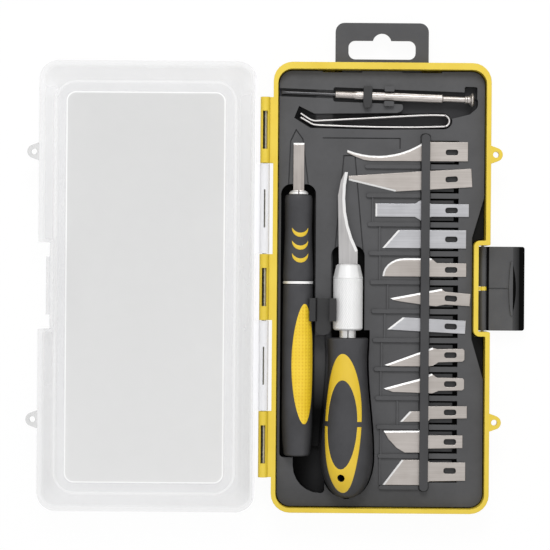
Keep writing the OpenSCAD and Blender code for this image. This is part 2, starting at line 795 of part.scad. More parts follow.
// Nubs either side of the screwdriver
nub_x = 54;
nub_l = 5;
nub_w = 2.6;
nub_h = 2;
module nubs() {
    for (s = [-1, 1]) on_driver(tray_top - rib_root)
        translate([nub_x, s * (body_r + seat_gap + nub_w / 2), 0]) linear_extrude(nub_h + rib_root)
            polygon(rounded(box(-nub_l / 2, nub_l / 2, -nub_w / 2, nub_w / 2), 0.6));
}

// Middle of the strap's two feet, across the screwdriver
strap_at = 43.2;
strap_w = 4.4;
strap_t = 1.4;
strap_far = body_r + driver_room + 1;
strap_near = -body_r - 4.2;
strap_peg_r = 1.2;
strap_peg_l = 2;
strap_peg_y = strap_near + 1.6;

// Low flange beside the waist, and notches along the head where the tray is pried out
flange_h = 8;
notch_rise = 2;
notch_w = 20;
notch_d = 0.7;
module tray() {
    color(black) difference() {
        union() {
            translate([0, 0, floor_t]) linear_extrude(tray_h) polygon(tray_outline(0));
            translate([0, 0, floor_t]) linear_extrude(flange_h) polygon(case_outline(rim));
            ribs();
            nubs();
        }
        sink(slim_z - slim_d / 2 - seat_gap) { slim_pocket(); knife_trough(); }
        sink(floor_t + tray_floor) { fat_pocket(); knife_scoop(); }
        sink(tray_top - scoop_d) finger_scoop();
        sink(fat_z - chuck_r - seat_gap) chuck_pocket();
        sink(driver_z - shaft_r - seat_gap) shaft_pocket();
        sink(driver_z - body_r - seat_gap) driver_pocket();
        sink(driver_z - cap_r - seat_gap) cap_pocket();
        sink(tweezer_z - seat_gap) tweezer_pocket();
        sink(tray_top - well_rise) wells();
        sink(tray_top - well_d) well_slots();
        sink(tray_top - bar_sink) bar_bed();
        sink(tray_top - line_d) {
            outline() blade_shade();
            outline() fat_shade();
            bay_line();
        }
        for (y = peg_ys) translate([bar_x, y, floor_t]) cylinder(r = peg_r + peg_gap, h = tray_h + 1);
        on_driver(floor_t) translate([strap_at, strap_peg_y, 0])
            cylinder(r = strap_peg_r + peg_gap, h = tray_h + 1);
        // Hollow underside
        translate([0, 0, floor_t - 1]) linear_extrude(tray_h - tray_skin + 1) difference() {
            polygon(tray_outline(tray_skin));
            offset(delta = tray_skin) all_pockets();
        }
        for (s = [-1, 1]) translate([s * notch_w - notch_w / 2, tray_head - notch_d, floor_t + notch_rise])
            cube([notch_w, 1, tray_h]);
        // Room for the hanging tab's tongue
        translate([-tongue_w / 2 - seat_gap, tray_head - 1, hanger_z - seat_gap])
            cube([tongue_w + 2 * seat_gap, 2, hanger_t + 2 * seat_gap]);
    }
}

// Snap clip that grips both knives
clip_l = 11.5;
clip_base_l = 18.4;
clip_base_h = 4;
clip_t = 0.9;
clip_back = 17;
clip_over = 2;
lip_in = 2.1;
chuck_lip = 1.4;
lip_fall = 1;
module knife_clip() {
    l = slim_x + slim_d / 2 + pocket_gap;
    r = fat_x - chuck_r - pocket_gap;
    lip_l = slim_x + slim_d / 2 - lip_in;
    lip_r = fat_x - chuck_r + chuck_lip;
    head = fat_y + fat_front - clip_back;
    slim_top = slim_z + 0.8 * slim_d / 2 + clip_over;
    chuck_top = fat_z + 0.7 * chuck_r + clip_over;
    dip = tray_top + clip_base_h;
    color(black) difference() {
        union() {
            translate([0, head, 0]) rotate([90, 0, 0]) linear_extrude(clip_l)
                polygon([[l, tray_top], [r, tray_top], [r, fat_z], [lip_r, fat_z + clip_over],
                    [lip_r, chuck_top], [r - lip_fall, chuck_top - lip_fall], [r - clip_t, dip],
                    [l + clip_t, dip], [l, slim_top - lip_fall], [lip_l, slim_top],
                    [lip_l, slim_z + 2 * clip_over], [l, slim_z + lip_fall]]);
            translate([0, 0, tray_top]) linear_extrude(clip_base_h)
                polygon(rounded(box(l, r, head - clip_base_l, head - 1), [3, 3, 0.5, 0.5]));
        }
        translate([slim_x, head - 2 * clip_base_l, slim_z]) along_y()
            cylinder(r = slim_d / 2 + seat_gap, h = 3 * clip_base_l);
        translate([fat_x, head - 2 * clip_base_l, fat_z]) along_y()
            cylinder(r = chuck_r + seat_gap, h = 3 * clip_base_l);
    }
}

// Strap over the screwdriver, on two feet
module driver_strap() {
    z0 = driver_z + body_r + seat_gap;
    foot = tray_top + blade_gap;
    color(black) on_driver() {
        translate([strap_at, 0, z0]) linear_extrude(strap_t)
            polygon(rounded([[-strap_w / 2, strap_far], [-strap_w / 2, strap_near + 3],
                [-0.3 * strap_w, strap_near], [0.3 * strap_w, strap_near],
                [strap_w / 2, strap_near + 3], [strap_w / 2, strap_far]], 0.6));
        translate([strap_at - 0.4 * strap_w, body_r + driver_room - seat_gap, foot])
            cube([0.8 * strap_w, 1, z0 - foot + 0.4]);
        translate([strap_at - 0.3 * strap_w, strap_near + seat_gap, foot])
            cube([0.6 * strap_w, 2 * (strap_peg_y - strap_near - seat_gap), z0 - foot + 0.4]);
        translate([strap_at, strap_peg_y, tray_top - strap_peg_l])
            cylinder(r = strap_peg_r, h = strap_peg_l + 1);
    }
}

// Spare blades

// Bar over the tangs, pegged into the tray at both ends
module blade_bar() {
    y0 = peg_ys[1] - bar_end;
    y1 = peg_ys[0] + bar_end;
    color(black) {
        translate([0, 0, bar_z]) linear_extrude(bar_h)
            polygon(rounded(box(bar_x - bar_w / 2, bar_x + bar_w / 2, y0, y1), 0.45 * bar_w));
        for (y = peg_ys) translate([bar_x, y, tray_top - peg_l])
            cylinder(r = peg_r, h = bar_z - tray_top + peg_l + 0.5);
    }
}

// Ground bevel along the edge from a to b, with the blade on the left
module grind(a, b, t, w = bevel_w) {
    d = b - a;
    over = 0.3;
    translate([a.x, a.y, 0]) rotate([0, 0, atan2(d.y, d.x)]) rotate([90, 0, 90])
        translate([0, 0, -over]) linear_extrude(norm(d) + 2 * over)
            polygon([[-over, edge_t], [0, edge_t], [w, t + eps], [w, t + over],
                [-over, t + over]]);
}

// Flat blade with a slotted tang, lying in its row under the bar, ground along a run of edge points
tang_slot_x = 13.2;
tang_slot_l = 6.2;
tang_slot_w = 2.9;
module spare_blade(row, outline, edge, tilt = 0, slot_y = 0) {
    color(steel) translate([bar_x, row_y(row), blade_z]) rotate([0, 0, tilt]) difference() {
        linear_extrude(blade_t) difference() {
            polygon(outline);
            translate([tang_slot_x, slot_y]) polygon(rounded(box(-tang_slot_l / 2, tang_slot_l / 2,
                -tang_slot_w / 2, tang_slot_w / 2), 1.2));
        }
        for (i = [0 : len(edge) - 2]) grind(edge[i], edge[i + 1], blade_t);
    }
}

// Points of the arc of radius r about c between two angles
function arc(c, r, from, to, n) =
    [for (i = [0 : n]) let (t = from + (to - from) * i / n) c + r * [cos(t), sin(t)]];

// Points of the arc from a to b that stands s to the left of the straight line
function bow(a, b, s, n) =
    let (l = norm(b - a), d = (b - a) / l, m = [-d.y, d.x], r = (l * l / 4 + s * s) / (2 * s))
    let (c = (a + b) / 2 + m * (s - r), half = asin(l / 2 / r))
    [for (i = [0 : n]) let (t = half * (2 * i / n - 1)) c + r * (m * cos(t) + d * sin(t))];

module blade_01_concave() {
    edge = bow([-0.8, 5.3], [-reach[0], 1], 4.8, 10);
    back = [[-reach[0], -0.4], [-35.5, -2.2], [-31, -3.9], [-27.5, -4.4], [tail[0], -4.3]];
    spare_blade(1, concat(edge, back, [[tail[0], 5.3]]), edge, 0, 0.1);
}

module blade_02_long_taper() {
    tip = [-reach[1], 2.6];
    heel = [-15.5, -4.3];
    spare_blade(2, [tip, heel, [tail[1], -4.1], [tail[1], 5.1], [-7, 5.1], [-reach[1], 4.8]],
        [tip, heel], 3.5, 0.3);
}

module blade_03_chisel() {
    w = 3.3;
    r = -reach[2];
    spare_blade(3, [[r, -w], [-5.2, -w], [-2.2, -5.1], [3.2, -3.15], [tail[2], -3.15], [tail[2], 3.15],
        [3.2, 3.15], [-2.2, 5.1], [-5.2, w], [r, w]], [[r, w], [r, -w]]);
}

module blade_04_angle() {
    tip = [-reach[3], -4.5];
    heel = [-13.5, 4.6];
    spare_blade(4, [tip, [tail[3], -4.5], [tail[3], 4.6], heel], [heel, tip]);
}

module blade_05_rounded() {
    heel = [-10, 5];
    tip = [-reach[4], -4.2];
    belly = concat([[3.2, 5]], [for (i = [0 : 7]) [heel.x + (tip.x - heel.x) * sin(90 * i / 7),
        tip.y + (heel.y - tip.y) * cos(90 * i / 7)]]);
    spare_blade(5, concat(belly, [[tail[4], -4.2], [tail[4], 2.5], [6, 2.6]]), belly, 0, -0.8);
}

module blade_06_long_point() {
    tip = [-reach[5], -1.9];
    heel = [8.1, 4.8];
    spare_blade(6, [tip, [-15.5, -2.6], [-11.8, -3.1], [3.6, -4.1], [6.2, -4.1], [10.6, -2.9],
        [tail[5], -2.8], [tail[5], 3.3], [10.2, 3.5], heel], [heel, tip], -4, 0.3);
}

module blade_07_narrow_angle() {
    tip = [-reach[6], -2.75];
    heel = [-11.1, 3.75];
    spare_blade(7, [tip, [tail[6], -2.75], [tail[6], 3.75], heel], [heel, tip], -2.9, 0.5);
}

module blade_08_fine_point() {
    tip = [-reach[7], -5.2];
    heel = [4.1, 3.7];
    spare_blade(8, [tip, [-16.8, -5.8], [1.6, -5.7], [4.4, -5.4], [7.2, -3.6], [tail[7] - 1, -3.2],
        [tail[7], -2.4], [tail[7], 2.4], [tail[7] - 0.8, 3.2], [6.6, 3], heel], [heel, tip]);
}

module blade_09_curved_point() {
    tip = [-reach[8], -2.4];
    bend = [-2, 2.6];
    heel = [3.8, 5.2];
    spare_blade(9, [tip, [-15.7, -4.1], [4.2, -4.7], [7.3, -3.4], [tail[8] - 1, -3.1], [tail[8], -2.3],
        [tail[8], 2.2], [tail[8] - 0.8, 3], [6.4, 3.2], heel, bend], [heel, bend, tip]);
}

module blade_10_stencil() {
    tip = [-reach[9], -4.6];
    heel = [-7, 0.7];
    spare_blade(10, [tip, [2, -4.4], [3.3, -3], [tail[9], -2.6], [tail[9], 3.4], [1.9, 3.3], [0.3, 0.7],
        heel], [heel, tip], 0, 0.3);
}

module blade_11_scoring() {
    tip = [-reach[10], 5.4];
    heel = [0.5, 5.7];
    spare_blade(11, [tip, [-17.6, 1.2], [-13.5, -3.1], [-9.4, -5.5], [0.3, -5.4], [1.9, -3.4],
        [tail[10], -3], [tail[10], 3.3], [1.9, 3.2], heel], [heel, tip]);
}

module blade_12_heavy_angle() {
    tip = [-reach[11], -7.3];
    heel = [-10.9, 5.4];
    spare_blade(12, [tip, [0.1, -7.3], [1.9, -6.1], [3, -5.3], [tail[11], -4.9], [tail[11], 4.2],
        [3.5, 4.2], [1, 5.4], heel], [heel, tip]);
}

// Slim knife: built along its axis from the rear end

module on_slim() { translate([slim_x, slim_y, slim_z]) along_y() children(); }
ring_y = grip_l;
sleeve_y = grip_l + ring_l;
sleeve_gap = 0.1;
slide_gap = 0.1;
split_w = 0.7;
split_l = 16;
collet_r = spigot_r - 0.2;
collet_in = 2;
spigot_l = 14;
spigot_bore_l = 10;
tang_l = 12;
tang_w = 4;

module slim_grip(inset = 0) {
    r = slim_d / 2 - inset;
    rotate_extrude() polygon([[0, inset], [r - 2.8, inset], [r - 1.9, 1 + inset], [r - 0.75, 8], [r, 20],
        [r, 0.7 * grip_l], [r - 0.35, grip_l - inset], [0, grip_l - inset]]);
}

// Plan of the long oval lens on the grip
lens_l = 0.7 * grip_l;
lens_w = 0.8 * slim_d;
lens_roll = 27;
lens_y = 16;
module lens_cut() {
    rotate([90, 0, 0]) rotate([0, lens_roll, 0]) translate([0, lens_y + lens_l / 2, 0])
        linear_extrude(slim_d) polygon(ellipse(lens_w / 2, lens_l / 2));
}

module slim_lens() {
    difference() {
        intersection() { slim_grip(); lens_cut(); }
        slim_grip(inlay_t);
    }
}

module slim_handle() {
    color(black) on_slim() difference() {
        union() {
            slim_grip();
            cylinder(r = spigot_r, h = grip_l + ring_l + spigot_l);
        }
        slim_lens();
        translate([0, 0, grip_l - spigot_bore_l]) cylinder(r = collet_r - 1, h = 2 * sleeve_l);
    }
}

module slim_grip_inlay() { color(yellow) on_slim() slim_lens(); }

module slim_ring() {
    color(steel) on_slim() translate([0, 0, ring_y]) difference() {
        cylinder(r = slim_d / 2 - 0.2, h = ring_l);
        translate([0, 0, -1]) cylinder(r = spigot_r + run_gap, h = ring_l + 2);
    }
}

module sleeve_form(inset = 0) {
    rear = slim_d / 2 - 0.1 - inset;
    front = sleeve_d / 2 - inset;
    y0 = sleeve_y + sleeve_gap;
    y1 = sleeve_y + sleeve_l;
    rotate_extrude() polygon([[0, y0], [rear - 0.3, y0], [rear, y0 + 3], [front - 0.2, y0 + 0.6 * sleeve_l],
        [front, y1 - 4], [front - 0.3, y1 - 0.9], [front - 0.9, y1 - inset], [0, y1 - inset]]);
}

// Three crescents on top of the sleeve
crescent_y = 13.4;
crescent_pitch = 6.4;
crescent_r = 4.1;
crescent_roll = 8.5;
hollow_r = 4.5;
hollow_y = 2.5;
module crescents() {
    difference() {
        intersection() {
            sleeve_form();
            rotate([90, 0, 0]) rotate([0, crescent_roll, 0]) for (i = [0 : 2])
                translate([0, sleeve_y + crescent_y + crescent_pitch * i, 0])
                linear_extrude(slim_d) difference() {
                    circle(crescent_r);
                    translate([0, hollow_y]) circle(hollow_r);
                }
        }
        sleeve_form(inlay_t);
    }
}

module slim_sleeve() {
    color(black) on_slim() difference() {
        sleeve_form();
        crescents();
        translate([0, 0, sleeve_y - 1]) cylinder(r = spigot_r + run_gap, h = sleeve_l + 2);
    }
}

module slim_crescents() { color(yellow) on_slim() crescents(); }

module slim_collet() {
    y0 = sleeve_y + spigot_l + 0.1;
    y1 = sleeve_y + sleeve_l + sleeve_gap;
    nose = sleeve_d / 2 - collet_in;
    color(steel) on_slim() difference() {
        union() {
            translate([0, 0, y0]) cylinder(r = collet_r, h = y1 - y0 + 0.5);
            translate([0, 0, y1]) cylinder(r1 = nose, r2 = nose - 0.5, h = collet_l - sleeve_gap);
        }
        translate([0, 0, slim_body_l - tang_l / 2 + 0.5])
            cube([tang_w + slide_gap, blade_t + slide_gap, tang_l + 1.2], center = true);
        translate([0, 0, slim_body_l]) cube([split_w, 2 * sleeve_d, split_l], center = true);
    }
}

module slim_blade() {
    w = slim_blade_w / 2;
    tang = tang_w / 2;
    root = slim_body_l + slide_gap;
    front = slim_body_l + slim_blade_l;
    color(steel) translate([slim_x, slim_y, slim_z - blade_t / 2]) difference() {
        linear_extrude(blade_t) polygon([[-tang, slim_body_l - tang_l], [tang, slim_body_l - tang_l],
            [tang, root], [w, root], [w, front], [-w, front], [-w, root], [-tang, root]]);
        grind([w, front], [-w, front], blade_t);
    }
}

// Fat knife: built along its axis from the rear end

module on_fat() { translate([fat_x, fat_y, fat_z]) along_y() children(); }
socket_l = 14;
fat_tang_l = 13;
fat_tang_w = 5;

module fat_form(inset = 0) {
    rotate_extrude() polygon(concat([[0, inset]],
        [for (y = fat_steps) [fat_r(y) - inset, inset + y * (fat_l - 2 * inset) / fat_l]],
        [[0, fat_l - inset]]));
}

// Oval ring on top of the handle, split by a gap on each side
ring_gap = 2.5;
lanyard_y = 0.136 * fat_l;
module ring_cut() {
    rotate([90, 0, 0]) rotate([0, -fat_roll, 0]) linear_extrude(fat_d) difference() {
        translate([0, 0.471 * fat_l]) polygon(ellipse(0.36 * fat_d, 0.435 * fat_l));
        translate([0, 0.465 * fat_l]) polygon(ellipse(0.29 * fat_d, 0.271 * fat_l));
        translate([-fat_d / 2, 0.452 * fat_l]) square([fat_d, ring_gap]);
    }
}

module lanyard_cut() {
    rotate([90, 0, 0]) rotate([0, -fat_roll, 0]) translate([0, lanyard_y, -fat_d])
        cylinder(r = lanyard_r, h = 2 * fat_d);
}

module fat_ring() {
    difference() {
        intersection() { fat_form(); ring_cut(); }
        fat_form(inlay_t);
        lanyard_cut();
    }
}

module fat_handle() {
    color(black) on_fat() difference() {
        fat_form();
        fat_ring();
        lanyard_cut();
        translate([0, 0, fat_l - socket_l]) cylinder(r = spindle_r + run_gap, h = socket_l + 1);
    }
}

module fat_grip_inlay() { color(yellow) on_fat() fat_ring(); }

module fat_collet() {
    y0 = fat_l - socket_l + 0.1;
    y1 = fat_front - 0.2;
    color(steel) on_fat() difference() {
        translate([0, 0, y0]) cylinder(r = spindle_r, h = y1 - y0);
        translate([0, 0, y1 - fat_tang_l / 2])
            cube([fat_tang_w + 2 * slide_gap, fat_blade_t + slide_gap, fat_tang_l + 1], center = true);
        translate([-split_w / 2, -spindle_r - 1, fat_l - 2]) cube([split_w, spindle_r + 1, 2 * chuck_l]);
    }
}

chuck_edge = 0.8;
nose_l = 6.4;
nose_in = 1.4;
module fat_chuck() {
    y0 = fat_l + spindle_l;
    nose_r = chuck_r - nose_in;
    color("#d6d8db") on_fat() difference() {
        translate([0, 0, y0]) rotate_extrude() polygon([[0, 0], [chuck_r - chuck_edge, 0],
            [chuck_r, chuck_edge], [chuck_r, chuck_l - nose_l], [nose_r, chuck_l - chuck_edge],
            [nose_r - chuck_edge, chuck_l], [0, chuck_l]]);
        translate([0, 0, y0 - 1]) cylinder(r = spindle_r + run_gap, h = chuck_l + 2);
    }
}

// Curved carving blade: bowed back, hollow cutting edge
module fat_blade() {
    y0 = fat_front + slide_gap;
    tip = fat_front + fat_blade_l;
    root = 4.65;
    tang_r = fat_tang_w / 2;
    edge = bow([root, tip - 39], [-0.4, tip], 3.4, 6);
    back = [[-2, tip], [-3.9, tip - 4], [-5.35, tip - 11.5], [-root, y0]];
    tang = [[-tang_r, y0], [-tang_r, y0 - fat_tang_l], [tang_r, y0 - fat_tang_l], [tang_r, y0], [root, y0]];
    color(steel) translate([fat_x, fat_y, fat_z - fat_blade_t / 2]) difference() {
        linear_extrude(fat_blade_t) polygon(concat(edge, back, tang));
        for (i = [0 : len(edge) - 2]) grind(edge[i], edge[i + 1], fat_blade_t, fat_bevel_w);
    }
}

// Screwdriver

pin_r = 0.8;
pin_l = 4.8;
shaft_in = 11;
module driver_shaft() {
    color("#3c3c3e") on_driver(driver_z) along_x() difference() {
        cylinder(r = shaft_r, h = shaft_l + shaft_in);
        // Flat blade at the tip
        for (s = [0, 180]) rotate([0, 0, s]) translate([0.45, -2, -1]) rotate([0, 9, 0]) cube([2, 4, 5]);
    }
}

module driver_body() {
    collar_r = body_r - 0.3;
    color(steel) on_driver(driver_z) translate([shaft_l, 0, 0]) along_x() difference() {
        rotate_extrude() polygon([[0, 0], [collar_r - 0.3, 0], [collar_r, 0.3], [collar_r, collar_l],
            [body_r, collar_l + 0.6], [body_r, body_l - 0.4], [body_r - 0.4, body_l],
            [neck_r, body_l + 0.2], [neck_r, body_l + neck_l - 1.2], [neck_r + 0.5, body_l + neck_l - 0.9],
            [neck_r + 0.5, body_l + neck_l - 0.1], [0, body_l + neck_l - 0.1]]);
        translate([0, 0, -1]) cylinder(r = shaft_r + run_gap, h = shaft_in + 1.2);
        translate([0, 0, body_l + neck_l - pin_l - 0.2]) cylinder(r = pin_r + run_gap, h = pin_l + 1);
    }
}

// Trumpet-shaped cap that spins on its pin
module driver_cap() {
    color(steel) on_driver(driver_z) translate([driver_l - cap_l, 0, 0]) along_x() difference() {
        rotate_extrude() polygon([[0, 0], [0.55 * cap_r, 0], [0.6 * cap_r, 0.35 * cap_l],
            [cap_r, 0.68 * cap_l], [cap_r, 0.82 * cap_l], [0.7 * cap_r, cap_l], [0, cap_l]]);
        translate([0, 0, -1]) cylinder(r = pin_r + run_gap, h = 0.7 * cap_l + 1);
    }
}

module driver_cap_pin() {
    color(steel) on_driver(driver_z) translate([driver_l - cap_l - pin_l, 0, 0]) along_x()
        cylinder(r = pin_r, h = pin_l + 0.7 * cap_l - 0.1);
}

// Tweezers: one strip bent double, divided at the middle of the bend

module arm(path) {
    color(steel) on_tweezers(tweezer_z) linear_extrude(strip_h) polygon(strip(path, strip_t));
}

bend_gap = 3;
module tweezer_lower_arm() {
    arm(concat(arc([0, 0], bend_r, 0, -90, 8), [[-0.22 * arm_l, -bend_r - 0.45],
        [-0.57 * arm_l, -bend_r - 0.4], [-0.93 * arm_l, -bend_r + 0.2], [-arm_l, -bend_r + 0.8],
        [-tip_x, 1.35]]));
}

module tweezer_upper_arm() {
    arm(concat(arc([0, 0], bend_r, bend_gap, 90, 8),
        [[-10, bend_r], [-arm_l + 0.3, -bend_r + 2.35], [-tip_x, 3.45]]));
}

base_shell();
lid_shell();
hinge_pin();
latch();
latch_pin();
hanger_tab();
tray();
knife_clip();
driver_strap();
blade_bar();
blade_01_concave();
blade_02_long_taper();
blade_03_chisel();
blade_04_angle();
blade_05_rounded();
blade_06_long_point();
blade_07_narrow_angle();
blade_08_fine_point();
blade_09_curved_point();
blade_10_stencil();
blade_11_scoring();
blade_12_heavy_angle();
slim_handle();
slim_grip_inlay();
slim_ring();
slim_sleeve();
slim_crescents();
slim_collet();
slim_blade();
fat_handle();
fat_grip_inlay();
fat_collet();
fat_chuck();
fat_blade();
driver_shaft();
driver_body();
driver_cap();
driver_cap_pin();
tweezer_lower_arm();
tweezer_upper_arm();
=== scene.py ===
import math

import bmesh
import bpy
from mathutils import Matrix, Vector

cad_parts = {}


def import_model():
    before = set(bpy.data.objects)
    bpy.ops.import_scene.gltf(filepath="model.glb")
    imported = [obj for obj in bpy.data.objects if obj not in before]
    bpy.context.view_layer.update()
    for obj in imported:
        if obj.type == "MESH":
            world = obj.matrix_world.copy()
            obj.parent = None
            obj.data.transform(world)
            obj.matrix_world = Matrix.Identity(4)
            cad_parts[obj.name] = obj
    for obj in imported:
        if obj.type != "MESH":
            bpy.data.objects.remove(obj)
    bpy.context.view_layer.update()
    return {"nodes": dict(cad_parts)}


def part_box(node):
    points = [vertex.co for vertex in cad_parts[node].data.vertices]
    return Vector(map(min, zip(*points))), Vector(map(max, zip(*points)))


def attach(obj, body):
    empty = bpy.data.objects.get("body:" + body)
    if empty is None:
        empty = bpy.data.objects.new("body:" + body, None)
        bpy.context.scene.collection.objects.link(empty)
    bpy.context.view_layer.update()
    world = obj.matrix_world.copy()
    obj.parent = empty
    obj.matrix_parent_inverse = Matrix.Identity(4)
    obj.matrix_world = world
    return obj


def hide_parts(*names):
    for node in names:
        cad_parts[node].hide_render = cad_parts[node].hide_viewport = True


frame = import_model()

NODES = frame["nodes"]
UP = Vector((0, 0, 1))

# Sizes and places of the object are in millimetres, and Blender's are in metres
MM = 0.001
EDGE_R = 0.3
EDGE_SAMPLES = 4
DOT_PITCH = 1.7

# Flat ends of turned pieces close at this radius
AXIS_R = 0.2

# Colour sockets of Blender's Mix node
MIX_A = 6
MIX_B = 7
MIX_RESULT = 2

# Outputs of Blender's Separate XYZ node
X = 0
Z = 2


# Node helpers

class Tree:
    """Short calls for the nodes of a material or a world."""

    def __init__(self, owner):
        owner.use_nodes = True
        self.nodes = owner.node_tree.nodes
        self.links = owner.node_tree.links
        self.nodes.clear()

    def feed(self, node, key, value):
        """Links a node's socket, or sets its value."""
        if isinstance(value, bpy.types.NodeSocket):
            self.links.new(value, node.inputs[key])
        else:
            node.inputs[key].default_value = value

    def add(self, kind, inputs=None, **props):
        """A new node with some of its sockets fed."""
        node = self.nodes.new("ShaderNode" + kind)
        for key, value in props.items():
            setattr(node, key, value)
        for key, value in (inputs or {}).items():
            self.feed(node, key, value)
        return node

    def math(self, kind, first, second=0.0):
        """A calculation on one or two values."""
        return self.add("Math", {0: first, 1: second}, operation=kind).outputs[0]

    def both(self, first, second):
        """Product of two factors, which is 1 where both are 1."""
        return self.math("MULTIPLY", first, second)

    def either(self, first, second):
        """Larger of two factors, which is 1 where one is 1."""
        return self.math("MAXIMUM", first, second)

    def ramp(self, value, start, end, low=0.0, high=1.0):
        """Runs from low to high while a value goes from start to end."""
        return self.add("MapRange", {"Value": value, "From Min": start, "From Max": end,
                                     "To Min": low, "To Max": high}).outputs[0]


class Paint(Tree):
    """A material with a Principled shader, softened edges and short calls for its textures."""

    def __init__(self, name, soft=EDGE_R, **sockets):
        self.mat = bpy.data.materials.new(name)
        super().__init__(self.mat)
        self.bsdf = self.add("BsdfPrincipled")
        for key, value in sockets.items():
            self.bsdf.inputs[key.replace("_", " ")].default_value = value
        self.add("OutputMaterial", {"Surface": self.bsdf.outputs[0]})
        self.coord = self.add("TexCoord")
        self.normal = None
        if soft:
            self.normal = self.add("Bevel", {"Radius": soft * MM}, samples=EDGE_SAMPLES).outputs[0]
            self.set("Normal", self.normal)

    def set(self, key, socket):
        """Feeds one of the shader's own sockets."""
        self.links.new(socket, self.bsdf.inputs[key])

    def axes(self):
        """Places on the object along x, y and z, in metres."""
        return self.add("SeparateXYZ", {0: self.coord.outputs["Object"]}).outputs

    def facing(self, axis):
        """How far a surface faces along x, y or z."""
        return self.add("SeparateXYZ", {0: self.coord.outputs["Normal"]}).outputs[axis]

    def fade(self, value, start, end, low=0.0, high=1.0):
        """A ramp whose start and end are in millimetres."""
        return self.ramp(value, start * MM, end * MM, low, high)

    def between(self, factor, low=0.0, high=1.0):
        """A value from low, where a factor is 0, to high, where it is 1."""
        return self.ramp(factor, 0, 1, low, high)

    def noise(self, scale, detail=3, rough=0.55, stretch=None):
        """A noise over the object, stretched along its axes where asked."""
        place = self.coord.outputs["Object"]
        if stretch:
            place = self.add("Mapping", {"Vector": place, "Scale": stretch}).outputs[0]
        return self.add("TexNoise", {"Vector": place, "Scale": scale, "Detail": detail,
                                     "Roughness": rough}).outputs["Fac"]

    def spread(self, noise, low=0.0, high=1.0, reach=0.2):
        """Stretches a noise, which mostly stays near one half, to run from low to high."""
        return self.ramp(noise, 0.5 - reach, 0.5 + reach, low, high)

    def mix(self, factor, first, second):
        """A colour between two colours."""
        node = self.add("Mix", {"Factor": factor}, data_type="RGBA")
        for key, colour in ((MIX_A, first), (MIX_B, second)):
            self.feed(node, key, (*colour, 1) if isinstance(colour, tuple) else colour)
        return node.outputs[MIX_RESULT]

    def bump(self, height, depth, strength):
        """Adds a bump of a depth in millimetres over the bumps before it."""
        inputs = {"Height": height, "Distance": depth * MM, "Strength": strength}
        if self.normal is not None:
            inputs["Normal"] = self.normal
        self.normal = self.add("Bump", inputs).outputs[0]
        self.set("Normal", self.normal)

    def outside(self, middle, half, corner):
        """Distance outside a rounded rectangle seen from above, below 0 inside it."""
        squares = []
        for value, centre, reach in zip(self.axes(), middle, half):
            away = self.math("ABSOLUTE", self.math("SUBTRACT", value, centre * MM))
            over = self.math("MAXIMUM", self.math("SUBTRACT", away, (reach - corner) * MM), 0.0)
            squares.append(self.math("MULTIPLY", over, over))
        return self.math("SUBTRACT", self.math("SQRT", self.math("ADD", *squares)), corner * MM)


def grey(level, blue=0.0):
    """A grey with a little more blue in it."""
    return level, level, level + blue


# Colours of painted shade: on the sides of grips, at the tray's foot end, in its pockets and on the latch
SHADE_BLACK = grey(0.0)
DEEP_SHADE_BLACK = grey(0.002)


# Plastics

def yellow_plastic(name, dark, light):
    """Moulded yellow plastic, faintly clouded and uneven."""
    paint = Paint(name, IOR=1.49)
    cloud = paint.noise(scale=35)
    paint.set("Base Color", paint.mix(paint.spread(cloud, reach=0.15), dark, light))
    paint.set("Roughness", paint.spread(paint.noise(scale=260, detail=4), low=0.30, high=0.44))
    paint.bump(paint.noise(scale=2600, detail=2), depth=0.03, strength=0.5)
    paint.bump(paint.noise(scale=55, detail=2), depth=0.2, strength=0.12)
    return paint.mat


def dotted_yellow():
    """Yellow rubber with rows of small dots."""
    paint = Paint("yellow_grip", IOR=1.46)
    x, y = paint.axes()[:2]
    phase = math.pi / (DOT_PITCH * MM)
    across = paint.math("MULTIPLY", x, phase)
    along = paint.math("MULTIPLY", y, phase)
    rising = paint.math("COSINE", paint.math("ADD", across, along))
    falling = paint.math("COSINE", paint.math("SUBTRACT", across, along))
    dot = paint.ramp(paint.both(rising, falling), start=0.25, end=0.8, low=0.0, high=0.55)
    cloud = paint.spread(paint.noise(scale=80), reach=0.15)
    rubber = paint.mix(cloud, (0.74, 0.505, 0.017), (0.79, 0.555, 0.030))
    paint.set("Base Color", paint.mix(dot, rubber, (0.62, 0.33, 0.008)))
    paint.set("Roughness", paint.spread(paint.noise(scale=400), low=0.42, high=0.58))
    paint.bump(paint.noise(scale=3000, detail=2), depth=0.03, strength=0.5)
    return paint.mat


def moulded(name, dark, light, rough=(0.40, 0.55), grain=3200, depth=0.04, gloss=0.5, painted_shading=False):
    """Black moulding; where asked, as on a grip, with painted shade on the sides that turn away from the
    top.
    """
    paint = Paint(name, IOR=1.47, Specular_IOR_Level=gloss)
    colour = paint.mix(paint.spread(paint.noise(scale=60, detail=4)), dark, light)
    if painted_shading:
        # Painted shade: the colour falls to half on the sides as they turn away from the top
        top = paint.ramp(paint.facing(Z), start=0.25, end=0.9, low=0.5, high=1.0)
        colour = paint.mix(top, SHADE_BLACK, colour)
    paint.set("Base Color", colour)
    paint.set("Roughness", paint.spread(paint.noise(scale=340), *rough))
    paint.bump(paint.noise(scale=grain, detail=2), depth, strength=0.6)
    return paint.mat


